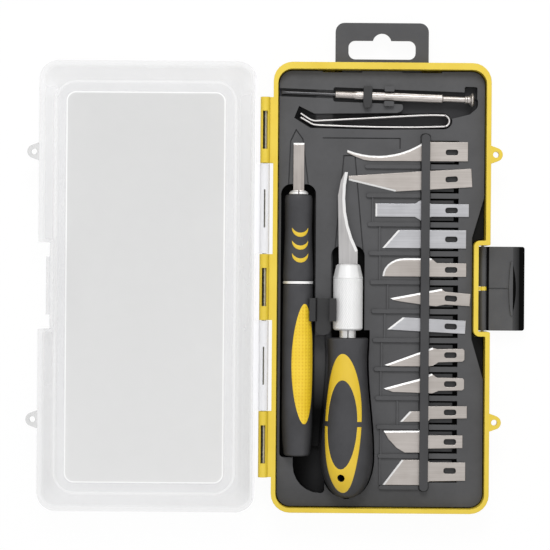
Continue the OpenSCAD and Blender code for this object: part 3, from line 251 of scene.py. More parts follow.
def tray_plastic():
    """Black moulding with painted shade down in its pockets, less of it round the small tools and in the
    finger scoop, a painted light on the trough's floor and painted shade at the foot end.
    """
    foot_shade_y, foot_shade_x = (-92, -102), (40, 15)
    trough_left, trough_right, trough_y = (-33.5, -32.5), (-24, -25), (-62, -26)
    scoop_x, scoop_y = (-40.5, -31.5), (-68, -94)
    small_tools_y = 76, 79
    pocket_z = 12.3, 9.8
    paint = Paint("tray_plastic", IOR=1.47)
    x, y, z = paint.axes()
    cloud = paint.spread(paint.noise(scale=60, detail=4))
    top = paint.mix(cloud, grey(0.043, 0.002), grey(0.056, 0.003))
    # Painted shade on the top towards the foot end
    foot_shade = paint.both(paint.fade(y, *foot_shade_y), paint.fade(x, *foot_shade_x, low=0.0, high=0.35))
    top = paint.mix(foot_shade, top, SHADE_BLACK)
    # Painted light on the floor of the trough, and lighter painted shade round the small tools and in the
    # scoop
    between = paint.both(paint.fade(x, *trough_left), paint.fade(x, *trough_right))
    lit_trough = paint.both(between, paint.fade(y, *trough_y))
    lit_scoop = paint.both(paint.fade(x, *scoop_x, low=0.0, high=0.4), paint.fade(y, *scoop_y))
    lit = paint.either(paint.fade(y, *small_tools_y), lit_scoop)
    # Painted shade in the pockets, near black where deepest
    pocket_shade = paint.mix(lit, DEEP_SHADE_BLACK, grey(0.040, 0.002))
    pocket_shade = paint.mix(lit_trough, pocket_shade, grey(0.120, 0.003))
    down = paint.fade(z, *pocket_z)
    paint.set("Base Color", paint.mix(down, top, pocket_shade))
    # The pockets' sheen is dimmed along with the painted shade
    paint.set("Specular IOR Level", paint.between(down, low=0.5, high=0.06))
    paint.set("Roughness", paint.spread(paint.noise(scale=340), low=0.46, high=0.62))
    paint.bump(paint.noise(scale=3200, detail=2), depth=0.04, strength=0.6)
    return paint.mat


def latch_plastic():
    """Glossy black plate with painted shade on the finger lip, low down on it and in the groove beside the
    barrel.
    """
    groove_z, groove_x = (6.7, 6.3), (55.2, 55.0)
    dip_z, dip_x = (6.4, 6.1), (66.6, 66.9)
    lip_x, lip_edge = (66.8, 71.2), (66.8, 67.1)
    paint = Paint("latch_plastic", IOR=1.49)
    x, _, z = paint.axes()
    cloud = paint.spread(paint.noise(scale=70, detail=4))
    plate = paint.mix(cloud, grey(0.046, 0.002), grey(0.064, 0.002))
    # Painted shade: near black in the groove beside the barrel, low down on the lip and growing towards
    # the lip's tip, with the sheen dimmed there
    groove_shade = paint.both(paint.fade(z, *groove_z), paint.fade(x, *groove_x))
    dip_shade = paint.both(paint.fade(z, *dip_z), paint.fade(x, *dip_x))
    lip_shade = paint.both(paint.fade(x, *lip_x, low=0.50, high=0.97), paint.fade(x, *lip_edge))
    dark = paint.either(paint.either(lip_shade, groove_shade), dip_shade)
    paint.set("Base Color", paint.mix(dark, plate, DEEP_SHADE_BLACK))
    paint.set("Specular IOR Level", paint.ramp(dark, start=0.5, end=1, low=0.5, high=0.03))
    paint.set("Roughness", paint.spread(paint.noise(scale=260), low=0.30, high=0.44))
    paint.bump(paint.noise(scale=1800, detail=2), depth=0.03, strength=0.6)
    return paint.mat


def clear_lid():
    """Clear moulding: a hazy border, a smoky panel in the middle, grey ears and milky knuckles, with
    painted light and shade along the lid's length and painted shade on its flat faces.
    """
    panel_edge, panel_line = (0.0, -0.2), (-0.9, -0.6)
    step_out, step_in = (4.2, 4.8), (6.0, 5.4)
    brim_edge = -3.0, -1.8
    knuckle_x, ear_x = (-64.5, -63.5), (-171.6, -171.9)
    length_y, top_end_y = (-100, 100), (95, 105)
    level_face = 0.93, 0.97
    panel_alpha, knuckle_alpha, ear_alpha = 0.26, 0.72, 0.5
    rough_share = 0.06

    paint = Paint("clear_plastic", soft=0, IOR=1.45)
    x, y = paint.axes()[:2]
    edge = paint.outside(middle=(-119.2, -0.7), half=(40.5, 99.45), corner=5)
    brim = paint.outside(middle=(-117.2, 0.0), half=(54.5, 112.76), corner=9.5)
    panel = paint.fade(edge, *panel_edge)
    line = paint.both(panel, paint.fade(edge, *panel_line))
    knuckle = paint.fade(x, *knuckle_x)
    ear = paint.fade(x, *ear_x)
    # Painted shade: faces that lie flat get a darker colour than the leaning walls
    flat = paint.ramp(paint.math("ABSOLUTE", paint.facing(Z)), *level_face)
    along = paint.fade(y, *length_y)

    # Painted light and shade along the lid: the walls lighter towards the top end, the smoky panel darker
    # there
    shaded_wall = paint.mix(along, grey(0.70, 0.015), grey(0.93, 0.015))
    border = paint.mix(flat, shaded_wall, grey(0.60, 0.015))
    shaded_smoky = paint.mix(along, grey(0.69), grey(0.60))
    body = paint.mix(line, paint.mix(panel, border, shaded_smoky), grey(0.92))
    body = paint.mix(knuckle, body, grey(0.90, 0.02))
    paint.set("Base Color", paint.mix(ear, body, grey(0.60)))

    step = paint.both(paint.fade(edge, *step_out), paint.fade(edge, *step_in))
    pale = paint.either(step, paint.fade(brim, *brim_edge))
    haze = paint.spread(paint.noise(scale=30, detail=2))
    haze = paint.between(haze, low=0.30, high=0.34)
    thin = paint.both(haze, paint.between(pale, low=1.0, high=0.6))
    thin = paint.both(thin, paint.fade(y, *top_end_y, low=1.0, high=0.75))
    clear = paint.math("ADD", paint.math("MULTIPLY", panel, panel_alpha), thin)
    knuckle_share = paint.math("MULTIPLY", knuckle, knuckle_alpha)
    ear_share = paint.math("MULTIPLY", ear, ear_alpha)
    paint.set("Alpha", paint.either(clear, paint.either(knuckle_share, ear_share)))

    smooth = paint.between(panel, low=0.22, high=0.34)
    uneven = paint.math("MULTIPLY", paint.noise(scale=300), rough_share)
    paint.set("Roughness", paint.math("ADD", smooth, uneven))
    paint.bump(paint.noise(scale=60, detail=2), depth=0.2, strength=0.03)
    return paint.mat


# Metals

SCRATCHES = {"x": (30, 2600, 800), "y": (2600, 30, 800), "xy": (900, 900, 900), "turned": (30, 2600, 2600)}
SCRATCH_SHARE = 0.55
# Colour of the painted highlight on the blades' ground bevels
BEVEL_HIGHLIGHT = (0.76, 0.755, 0.75)
BEVEL_METAL = 0.25
BEVEL_LEAST, BEVEL_MOST = (0.01, 0.03), (0.75, 0.6)


def scratches(paint, along):
    """Fine scratches along one axis or two."""
    return paint.noise(scale=1.0, detail=4, rough=0.7, stretch=SCRATCHES[along])


def steel(name, dark, light, along="x", rough=(0.28, 0.42), edge=None, streak=1.0, metal=1.0):
    """Ground steel with fine scratches and, where an edge colour is given, a painted highlight on the
    bevels.
    """
    paint = Paint(name, Metallic=metal)
    scratch = scratches(paint, along)
    cloud = paint.noise(scale=70)
    shade = paint.math("ADD", paint.math("MULTIPLY", scratch, SCRATCH_SHARE),
                       paint.math("MULTIPLY", cloud, 1 - SCRATCH_SHARE))
    colour = paint.mix(paint.spread(shade, reach=0.15), dark, light)
    if edge:
        # Painted highlight: slanted faces of the ground bevels get a pale, less metallic colour
        tilt = paint.math("SUBTRACT", 1.0, paint.math("ABSOLUTE", paint.facing(Z)))
        bevel_highlight = paint.both(paint.ramp(tilt, *BEVEL_LEAST), paint.ramp(tilt, *BEVEL_MOST))
        colour = paint.mix(bevel_highlight, colour, edge)
        paint.set("Metallic", paint.between(bevel_highlight, low=metal, high=BEVEL_METAL))
    paint.set("Base Color", colour)
    paint.set("Roughness", paint.spread(scratch, *rough))
    paint.bump(scratch, depth=0.02 * streak, strength=0.35)
    return paint.mat


def pin_steel():
    """Hinge rod with painted shade on the side to the lid and a painted highlight on the other, broken up
    by random patches.
    """
    paint = Paint("hinge_steel", Metallic=0.6)
    # Painted shade and highlight, by which way the rod's surface faces
    side = paint.ramp(paint.facing(X), start=-0.1, end=0.35)
    patchy = paint.spread(paint.noise(scale=900), low=-0.15, high=0.15)
    painted_shading = paint.math("ADD", side, patchy)
    colour = paint.mix(paint.between(painted_shading), (0.020, 0.020, 0.018), (0.62, 0.60, 0.50))
    paint.set("Base Color", colour)
    paint.set("Roughness", paint.between(painted_shading, low=0.5, high=0.3))
    paint.bump(paint.noise(scale=1500, detail=2), depth=0.02, strength=0.4)
    return paint.mat


def driver_steel():
    """Bright turned steel, duller along the screwdriver's knurled collar."""
    collar_left, collar_right, collar_shade = (-23.5, -22.5), (-14, -15), -0.16
    paint = Paint("bright_steel", Metallic=0.85)
    x = paint.axes()[X]
    scratch = scratches(paint, "turned")
    collar = paint.both(paint.fade(x, *collar_left), paint.fade(x, *collar_right))
    shade = paint.math("ADD", scratch, paint.math("MULTIPLY", collar, collar_shade))
    shade = paint.ramp(shade, start=0.25, end=0.65)
    paint.set("Base Color", paint.mix(shade, (0.30, 0.275, 0.26), (0.53, 0.495, 0.47)))
    paint.set("Roughness", paint.spread(scratch, low=0.34, high=0.48))
    paint.bump(scratch, depth=0.02, strength=0.3)
    return paint.mat


MAT = {
    "yellow": yellow_plastic("yellow_plastic", (0.655, 0.472, 0.028), (0.705, 0.528, 0.046)),
    "inlay": yellow_plastic("yellow_inlay", (0.64, 0.43, 0.016), (0.70, 0.485, 0.026)),
    "grip_yellow": dotted_yellow(),
    "tray": tray_plastic(),
    # Grips get painted shade on their sides
    "grip": moulded("grip_plastic", grey(0.047, 0.003), grey(0.064, 0.004), rough=(0.36, 0.48),
                    grain=2600, depth=0.05, gloss=0.12, painted_shading=True),
    "latch": latch_plastic(),
    "tab": moulded("tab_plastic", grey(0.036, 0.003), grey(0.047, 0.003)),
    "clip": moulded("clip_plastic", grey(0.011, 0.001), grey(0.017, 0.001), rough=(0.42, 0.56)),
    "holder": moulded("holder_plastic", grey(0.026, 0.002), grey(0.037, 0.002)),
    "warm_blade": steel("warm_blade_steel", (0.38, 0.347, 0.322), (0.50, 0.465, 0.44), edge=BEVEL_HIGHLIGHT),
    "cool_blade": steel("cool_blade_steel", grey(0.39, 0.015), grey(0.51, 0.02), edge=BEVEL_HIGHLIGHT),
    "slim_blade": steel("slim_blade_steel", (0.335, 0.302, 0.285), (0.445, 0.41, 0.386),
                        along="y", edge=BEVEL_HIGHLIGHT),
    "fat_blade": steel("carving_blade_steel", (0.37, 0.36, 0.36), (0.49, 0.478, 0.475),
                       along="y", edge=BEVEL_HIGHLIGHT),
    "bright": driver_steel(),
    "tweezer": steel("tweezer_steel", (0.60, 0.58, 0.57), (0.72, 0.70, 0.69), rough=(0.26, 0.38)),
    "alloy": steel("aluminium", grey(0.68), grey(0.76), along="y", rough=(0.50, 0.62),
                   streak=0.6, metal=0.35),
    "ring": steel("plated_steel", (0.78, 0.775, 0.77), (0.88, 0.875, 0.87), along="xy",
                  rough=(0.34, 0.46), metal=0.5),
    "dark_steel": steel("dark_steel", grey(0.050, 0.002), grey(0.085, 0.003), along="xy",
                        rough=(0.30, 0.42)),
    "pin": pin_steel(),
    "lid": clear_lid(),
}


# Materials of the CAD nodes

COOL_BLADES = ("blade_03_chisel", "blade_04_angle", "blade_07_narrow_angle")
NODE_MATS = {
    "base_shell": "yellow",
    "lid_shell": "lid",
    "tray": "tray",
    "latch": "latch",
    "hanger_tab": "tab",
    "knife_clip": "clip",
    "driver_strap": "clip",
    "blade_bar": "holder",
    "hinge_pin": "pin",
    "latch_pin": "bright",
    "driver_shaft": "dark_steel",
    "driver_cap_pin": "bright",
    "slim_ring": "ring",
    "fat_collet": "ring",
    "slim_blade": "slim_blade",
    "fat_blade": "fat_blade",
}
for node in NODES:
    if node.startswith("blade_") and node not in NODE_MATS:
        NODE_MATS[node] = "cool_blade" if node in COOL_BLADES else "warm_blade"
for node, mat in NODE_MATS.items():
    NODES[node].data.materials.clear()
    NODES[node].data.materials.append(MAT[mat])


# Shape helpers

WELD = 1e-7
CORNER_SHARE = 0.45


def piece(name, shape, mat, body, node, crease=40):
    """A closed mesh that rides on a body and stands for a CAD node."""
    verts, faces = shape
    mesh = bpy.data.meshes.new(name)
    mesh.from_pydata([tuple(vert) for vert in verts], [], faces)
    work = bmesh.new()
    work.from_mesh(mesh)
    bmesh.ops.remove_doubles(work, verts=work.verts, dist=WELD)
    bmesh.ops.recalc_face_normals(work, faces=work.faces)
    work.to_mesh(mesh)
    work.free()
    mesh.polygons.foreach_set("use_smooth", [True] * len(mesh.polygons))
    mesh.set_sharp_from_angle(angle=math.radians(crease))
    mesh.materials.append(MAT[mat])
    obj = bpy.data.objects.new(name, mesh)
    bpy.context.scene.collection.objects.link(obj)
    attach(obj, body)
    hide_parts(node)
    return obj


class Spindle:
    """A turning axis: points from a distance along it, a radius and an angle from the top."""

    def __init__(self, start, along):
        self.start = Vector(start)
        self.along = Vector(along).normalized()
        self.side = self.along.cross(UP)

    def at(self, distance, radius, turn):
        angle = math.radians(turn)
        out = UP * math.cos(angle) + self.side * math.sin(angle)
        return self.start + (self.along * distance + out * radius) * MM


def knife_spindle(tail, collar):
    """A spindle along the case, from the end of one CAD node and on the axis of a round one."""
    low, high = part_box(collar)
    middle = (low + high) / 2
    return Spindle((middle.x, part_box(tail)[0].y, middle.z), (0, 1, 0))


def soften(points, radius, steps):
    """Rounds the inner corners of a profile."""
    out = [points[0]]
    for before, corner, after in zip(points, points[1:], points[2:]):
        corner = Vector(corner)
        back = Vector(before) - corner
        ahead = Vector(after) - corner
        reach = min(radius, back.length * CORNER_SHARE, ahead.length * CORNER_SHARE)
        start = corner + back.normalized() * reach
        end = corner + ahead.normalized() * reach
        for i in range(steps + 1):
            t = i / steps
            spot = start * (1 - t) ** 2 + corner * 2 * t * (1 - t) + end * t * t
            out.append((spot.x, spot.y))
    out.append(points[-1])
    return out


def quads(rows, columns, closed):
    """Faces between neighbouring rows of points, whose ends meet where closed."""
    faces = []
    for i in range(rows - 1):
        for k in range(columns if closed else columns - 1):
            here, there = i * columns, (i + 1) * columns
            j = (k + 1) % columns
            faces.append((here + k, here + j, there + j, there + k))
    return faces


def tube(rows, columns):
    """Faces of closed rows of points, with a face at both ends."""
    last = (rows - 1) * columns
    start = tuple(reversed(range(columns)))
    end = tuple(range(last, last + columns))
    return quads(rows, columns, closed=True) + [start, end]


def lathe(spindle, profile, segments=96, skin=None):
    """A turned shape from (distance, radius) pairs, with an optional skin that sets the radius."""
    verts = []
    for distance, radius in profile:
        for k in range(segments):
            turn = 360 * k / segments
            out = skin(distance, radius, turn) if skin else radius
            verts.append(spindle.at(distance, out, turn))
    return verts, tube(len(profile), segments)


def patch(spindle, grid, radius, lift, thick):
    """A thin curved plate on a turned surface from a grid of (distance, angle, extra height)."""
    rows, columns = len(grid), len(grid[0])
    top = []
    under = []
    for row in grid:
        for distance, turn, extra in row:
            top.append(spindle.at(distance, radius(distance) + lift + extra, turn))
            under.append(spindle.at(distance, radius(distance) - thick, turn))
    count = rows * columns
    faces = quads(rows, columns, closed=False)
    faces += [tuple(count + i for i in reversed(face)) for face in faces]
    border = list(range(columns))
    border += [i * columns + columns - 1 for i in range(1, rows)]
    border += [(rows - 1) * columns + k for k in range(columns - 2, -1, -1)]
    border += [i * columns for i in range(rows - 2, 0, -1)]
    for here, there in zip(border, border[1:] + border[:1]):
        faces.append((there, here, count + here, count + there))
    return top + under, faces


def joined(shapes):
    """Several shapes as one."""
    verts, faces = [], []
    for more_verts, more_faces in shapes:
        faces += [tuple(len(verts) + i for i in face) for face in more_faces]
        verts += more_verts
    return verts, faces


def radius_at(profile, distance):
    """Radius of a profile of (distance, radius) pairs at a distance."""
    for (start, first), (end, second) in zip(profile, profile[1:]):
        if distance <= end:
            return first + (second - first) * (distance - start) / (end - start)
    return profile[-1][1]


def knurl(depth, across, along):
    """Depth of a diamond knurl at two angles, one counted round the piece and one along it."""
    return depth * (0.5 - 0.25 * (math.cos(across + along) + math.cos(across - along)))


def carve(obj, shape, place):
    """Cuts a shape out of a piece."""
    mesh = bpy.data.meshes.new("cutter")
    shape.to_mesh(mesh)
    shape.free()
    cutter = bpy.data.objects.new("cutter", mesh)
    bpy.context.scene.collection.objects.link(cutter)
    cutter.matrix_world = place
    cut = obj.modifiers.new("cut", "BOOLEAN")
    cut.operation = "DIFFERENCE"
    cut.solver = "EXACT"
    cut.object = cutter
    graph = bpy.context.evaluated_depsgraph_get()
    carved = bpy.data.meshes.new_from_object(obj.evaluated_get(graph))
    obj.modifiers.remove(cut)
    obj.data = carved
    bpy.data.objects.remove(cutter)
    bpy.data.meshes.remove(mesh)


def bore(obj, start, end, radius):
    """Cuts a round hole through a piece."""
    way = end - start
    rod = bmesh.new()
    bmesh.ops.create_cone(rod, cap_ends=True, segments=48, radius1=radius * MM, radius2=radius * MM,
                          depth=way.length)
    turn = way.to_track_quat("Z", "Y").to_matrix().to_4x4()
    carve(obj, rod, Matrix.Translation((start + end) / 2) @ turn)


def notch(obj, middle, size):
    """Cuts a square slot into a piece."""
    block = bmesh.new()
    bmesh.ops.create_cube(block, size=1)
    bmesh.ops.scale(block, vec=Vector(size) * MM, verts=block.verts)
    carve(obj, block, Matrix.Translation(middle))


# Slim knife: outlines are pairs of the distance from the tail of its handle and the radius

SLIM = knife_spindle("slim_handle", "slim_collet")
GRIP_L, GRIP_R = 86.15, 7.75
GRIP = [(0, 5.9), (0.7, 6.65), (8, 7.4), (14, 7.65), (20, GRIP_R), (30, GRIP_R), (60.3, GRIP_R),
        (GRIP_L, 7.4)]
SPIGOT_END, SPIGOT_R = 100, 3.4
LENS_L, LENS_W, LENS_MIDDLE, LENS_ROLL = 60.3, 12.4, 46.15, 27
SLEEVE_START, SLEEVE_END, SLEEVE_BORE = 87.55, 130.8, 3.5
SLEEVE = [(SLEEVE_START, 7.35), (89.0, 7.62), (90.6, 7.65), (100, 7.28), (107, 6.95), (113.5, 6.8),
          (119, 6.86), (126.8, 7.0), (128.6, 6.93), (129.9, 6.7), (130.5, 6.4), (SLEEVE_END, 5.9)]
CRESCENTS, CRESCENT_FIRST, CRESCENT_PITCH, CRESCENT_ROLL = 3, 100.85, 6.4, 8.5
CRESCENT_OUTER, CRESCENT_INNER, CRESCENT_SHIFT = 4.1, 4.5, 2.5
COLLET_START, COLLET_R = 101.55, 3.2
JAWS_START, JAWS_END = 130.9, 133.0
JAWS = [(JAWS_START, 4.75), (131.1, 4.85), (131.5, 4.82), (131.95, 4.6), (132.35, 4.2), (132.7, 3.7),
        (132.93, 3.25), (JAWS_END, 3.0)]
BLADE_SLOT_MIDDLE, BLADE_SLOT = 127.5, (4.1, 13.2, 0.7)
JAW_SPLIT = (0.7, 16.0, 28.0)


def slim_grip():
    """Turned grip with the spigot that the sleeve turns on."""
    spigot = [(GRIP_L, SPIGOT_R), (SPIGOT_END, SPIGOT_R), (SPIGOT_END, AXIS_R)]
    return lathe(SLIM, soften([(0, AXIS_R), *GRIP, *spigot], radius=1.2, steps=5))


def slim_lens():
    """Long yellow oval on the grip, covered in small raised dots."""
    rows, columns = 240, 64
    nearly_half = 0.4995
    sunk, crown, shoulder = 0.10, 0.12, 0.5
    dot_height, dot_margin = 0.16, 0.6
    grid = []
    for i in range(rows + 1):
        v = -nearly_half * LENS_L * math.cos(math.pi * i / rows)
        half = LENS_W / 2 * math.sqrt(1 - (2 * v / LENS_L) ** 2)
        row = []
        for k in range(columns + 1):
            u = -half + 2 * half * k / columns
            edge = max(min(half - abs(u), LENS_L / 2 - abs(v)), 0)
            rising = math.cos(math.pi * (u + v) / DOT_PITCH)
            falling = math.cos(math.pi * (u - v) / DOT_PITCH)
            dot = max(0, rising * falling) ** 2 * min(1, max(edge - shoulder, 0) / dot_margin)
            rise = crown * min(1, edge / shoulder) - sunk + dot_height * dot
            turn = math.degrees(math.asin(u / GRIP_R)) + LENS_ROLL
            row.append((LENS_MIDDLE + v, turn, rise))
        grid.append(row)
    return patch(SLIM, grid, lambda distance: radius_at(GRIP, distance), lift=0.04, thick=0.6)


def slim_sleeve():
    """Turned sleeve with a waist and a rounded nose."""
    profile = [(SLEEVE_START, SLEEVE_BORE), *SLEEVE, (SLEEVE_END, SLEEVE_BORE)]
    return lathe(SLIM, soften(profile, radius=1.0, steps=4))


def crescent(base):
    """A yellow crescent between two arcs that cross at its tips, let into the top of the sleeve."""
    steps, across = 40, 6
    crown = 0.08
    tip_y = (CRESCENT_OUTER ** 2 - CRESCENT_INNER ** 2 + CRESCENT_SHIFT ** 2) / (2 * CRESCENT_SHIFT)
    tip_x = math.sqrt(CRESCENT_OUTER ** 2 - tip_y ** 2)
    outer_end = math.atan2(tip_y, tip_x) + math.pi / 2
    inner_end = math.atan2(tip_y - CRESCENT_SHIFT, tip_x) + math.pi / 2
    grid = []
    for i in range(steps + 1):
        t = i / steps
        a = outer_end * (2 * t - 1)
        b = inner_end * (2 * t - 1)
        outer = Vector((math.sin(a), -math.cos(a))) * CRESCENT_OUTER
        inner = Vector((math.sin(b), -math.cos(b))) * CRESCENT_INNER + Vector((0, CRESCENT_SHIFT))
        row = []
        for k in range(across + 1):
            w = k / across
            spot = outer * (1 - w) + inner * w
            distance = base + spot.y
            rise = crown * math.sin(math.pi * w) * math.sqrt(math.sin(math.pi * t))
            turn = math.degrees(math.asin(spot.x / radius_at(SLEEVE, distance))) + CRESCENT_ROLL
            row.append((distance, turn, rise))
        grid.append(row)
    return patch(SLIM, grid, lambda distance: radius_at(SLEEVE, distance), lift=0.03, thick=0.5)


def slim_jaws():
    """Collet rod with a round nose."""
    rod = [(COLLET_START, AXIS_R), (COLLET_START, COLLET_R), (JAWS_START, COLLET_R)]
    return lathe(SLIM, [*rod, *JAWS, (JAWS_END, AXIS_R)])


piece("slim_handle_grip", slim_grip(), "grip", "slim_knife", "slim_handle")
piece("slim_grip_lens", slim_lens(), "grip_yellow", "slim_knife", "slim_grip_inlay",
      crease=60)
piece("slim_sleeve_shell", slim_sleeve(), "grip", "slim_sleeve", "slim_sleeve")
inlays = joined([crescent(CRESCENT_FIRST + CRESCENT_PITCH * i) for i in range(CRESCENTS)])
piece("slim_sleeve_crescents", inlays, "inlay", "slim_sleeve", "slim_crescents",
      crease=60)
jaws = piece("slim_collet_jaws", slim_jaws(), "ring", "slim_knife", "slim_collet",
             crease=35)
notch(jaws, SLIM.at(BLADE_SLOT_MIDDLE, 0, 0), BLADE_SLOT)
notch(jaws, SLIM.at(JAWS_END, 0, 0), JAW_SPLIT)


# Fat knife: distances are from the tail of its handle, and on the chuck from its back

FAT = knife_spindle("fat_handle", "fat_chuck")
FAT_L, FAT_R, WAIST_R, TAIL_R, LIP = 80.1, 13.0, 9.75, 1.3, 0.45
FAT_ROLL = -16
BELLY, NECK = 0.25 * FAT_L, 0.87 * FAT_L
CORD_PLACE, CORD_R, CORD_REACH = 0.136 * FAT_L, 1.85, 20
OUTER_OVAL = (0.72 * FAT_R, 0.471 * FAT_L, 0.435 * FAT_L)
INNER_OVAL = (0.58 * FAT_R, 0.465 * FAT_L, 0.271 * FAT_L)
HALF_GAP = 1.25
GAP = 0.452 * FAT_L + HALF_GAP
CHUCK = FAT_L + 3.7
CHUCK_L, CHUCK_R, CHUCK_BORE = 33, 7.4, 4.2
KNURL_START, KNURL_END, KNURL_TEETH, KNURL_DEPTH = 1.2, 26.0, 46, 0.2
NOSE_START, NOSE_FLATS, FLAT_SHARE = 26.7, 8, 0.035


def swell(share):
    """Goes smoothly from 0 to 1."""
    return (1 - math.cos(math.pi * share)) / 2


def fat_radius(distance):
    """Radius of the handle: a round tail, a belly, a waist and a small lip."""
    if distance < BELLY:
        return TAIL_R + (FAT_R - TAIL_R) * math.sqrt(1 - (1 - distance / BELLY) ** 2)
    if distance < NECK:
        return FAT_R + (WAIST_R - FAT_R) * swell((distance - BELLY) / (NECK - BELLY))
    return WAIST_R + LIP * swell((distance - NECK) / (FAT_L - NECK))


def fat_grip():
    """Turned handle with its front edge rounded over."""
    tail_steps, body_steps = 28, 60
    rim, rim_back, rim_drop = 0.6, 0.25, 0.12
    rim_r = fat_radius(FAT_L)
    places = [BELLY * (1 - math.cos(math.pi / 2 * i / tail_steps)) for i in range(1, tail_steps + 1)]
    places += [BELLY + (FAT_L - rim - BELLY) * i / body_steps for i in range(1, body_steps + 1)]
    profile = [(0, AXIS_R), (0, TAIL_R)]
    profile += [(place, fat_radius(place)) for place in places]
    profile += [(FAT_L - rim_back, rim_r - rim_drop), (FAT_L, rim_r - rim), (FAT_L, AXIS_R)]
    return lathe(FAT, profile, segments=128)


def oval_point(oval, angle):
    """Point on an oval of (half width, middle, half length)."""
    half_width, middle, half_length = oval
    return Vector((half_width * math.cos(angle), middle + half_length * math.sin(angle)))


def half_ring(upper):
    """Half of the yellow oval ring, cut off straight at the gap between the halves."""
    steps, across = 150, 16
    sunk, crown, shoulder = 0.07, 0.12, 1 / 8
    grid = []
    for i in range(steps + 1):
        angle = math.pi * (i / steps if upper else 1 + i / steps)
        inner = oval_point(INNER_OVAL, angle)
        outer = oval_point(OUTER_OVAL, angle)
        row = []
        for k in range(across + 1):
            w = k / across
            spot = inner + (outer - inner) * w
            distance = max(spot.y, GAP + HALF_GAP) if upper else min(spot.y, GAP - HALF_GAP)
            rise = crown * min(1, min(w, 1 - w) / shoulder) - sunk
            turn = math.degrees(math.asin(spot.x / fat_radius(distance))) + FAT_ROLL
            row.append((distance, turn, rise))
        grid.append(row)
    return patch(FAT, grid, fat_radius, lift=0.05, thick=0.6)


def chuck_skin(distance, radius, turn):
    """Diamond knurl on the barrel and flats on the nose."""
    place = distance - CHUCK
    if place > NOSE_START and radius > CHUCK_BORE:
        return radius * (1 - FLAT_SHARE * abs(math.sin(math.radians(turn * NOSE_FLATS / 2))))
    if KNURL_START < place < KNURL_END and radius == CHUCK_R:
        along = math.pi * (place - KNURL_START)
        return radius - knurl(KNURL_DEPTH, math.radians(turn * KNURL_TEETH), along)
    return radius


def chuck():
    """Knurled nut with a rounded back and a tapered nose."""
    rows, points_per_tooth = 198, 8
    back = [(0, CHUCK_BORE), (0, 6.3), (0.2, 6.75), (0.7, 7.25), (1.1, CHUCK_R)]
    barrel = [(KNURL_START + (KNURL_END - KNURL_START) * i / rows, CHUCK_R) for i in range(rows + 1)]
    nose = [(26.4, CHUCK_R), (26.75, 7.3), (27.1, 7.2), (32.3, 6.0), (CHUCK_L, 5.3), (CHUCK_L, CHUCK_BORE)]
    profile = [(CHUCK + place, radius) for place, radius in back + barrel + nose]
    return lathe(FAT, profile, segments=points_per_tooth * KNURL_TEETH, skin=chuck_skin)


cord_hole = [FAT.at(CORD_PLACE, reach, FAT_ROLL) for reach in (-CORD_REACH, CORD_REACH)]
handle = piece("fat_handle_grip", fat_grip(), "grip", "fat_knife", "fat_handle")
bore(handle, *cord_hole, CORD_R)
halves = joined([half_ring(upper=True), half_ring(upper=False)])
ring = piece("fat_grip_ring", halves, "inlay", "fat_knife", "fat_grip_inlay", crease=60)
bore(ring, *cord_hole, CORD_R)
piece("fat_chuck_knurled", chuck(), "alloy", "fat_chuck", "fat_chuck", crease=50)


# Screwdriver: distances are from its tip

DRIVER_TIP = Vector((-50.5, 97.86, 11.8)) * MM
DRIVER_TILT = math.radians(-1.9)
DRIVER = Spindle(DRIVER_TIP, (math.cos(DRIVER_TILT), math.sin(DRIVER_TILT), 0))
COLLAR_START, COLLAR_END, COLLAR_R = 28, 35.6, 1.8
COLLAR_TEETH, COLLAR_RATE, COLLAR_DEPTH = 22, 5, 0.09
BODY_START, BODY_END, BODY_R = 27, 93.1, 2.1
FLUTES, FLUTE_START, FLUTE_END, FLUTE_DEPTH = 8, 37.6, 80.4, 0.22
STEM_R, STEM_COLLAR_R = 1.45, 1.95
CAP_START, CAP_END, CAP_R = 93.2, 96.6, 3.5


def driver_skin(distance, radius, turn):
    """Knurl on the collar and long flutes on the body."""
    if COLLAR_START < distance < COLLAR_END and radius == COLLAR_R:
        along = (distance - COLLAR_START) * COLLAR_RATE
        return radius - knurl(COLLAR_DEPTH, math.radians(turn * COLLAR_TEETH), along)
    if FLUTE_START < distance < FLUTE_END and radius == BODY_R:
        return radius - FLUTE_DEPTH * max(0, math.cos(math.radians(turn * FLUTES))) ** 4
    return radius


def driver_body():
    """Knurled collar, fluted body and thin stem."""
    rows, points_per_tooth = 76, 12
    profile = [(BODY_START, 1.1), (BODY_START, 1.5), (27.3, COLLAR_R)]
    profile += [(COLLAR_START + (COLLAR_END - COLLAR_START) * i / rows, COLLAR_R) for i in range(rows + 1)]
    profile += [(36.4, COLLAR_R)]
    profile += [(place, BODY_R) for place in (37.0, 37.5, 37.7, 38.2, 79.8, 80.3, 80.5)]
    profile += [(80.7, 2.08), (81.0, 1.75), (81.2, STEM_R), (92.0, STEM_R)]
    profile += [(92.3, STEM_COLLAR_R), (BODY_END, STEM_COLLAR_R), (BODY_END, 1.0)]
    return lathe(DRIVER, profile, segments=points_per_tooth * COLLAR_TEETH, skin=driver_skin)


def driver_cap():
    """Swivel end with a wide flange."""
    profile = [(CAP_START, 0.9), (CAP_START, 1.92), (94.4, 2.1), (95.0, 2.6), (95.5, CAP_R), (96.0, CAP_R),
               (CAP_END, 2.45), (CAP_END, AXIS_R)]
    return lathe(DRIVER, soften(profile, radius=0.35, steps=4))


piece("driver_body_fluted", driver_body(), "bright", "driver", "driver_body")
piece("driver_cap_turned", driver_cap(), "bright", "driver_cap", "driver_cap", crease=45)


# Tweezers: points are from the middle of their bend

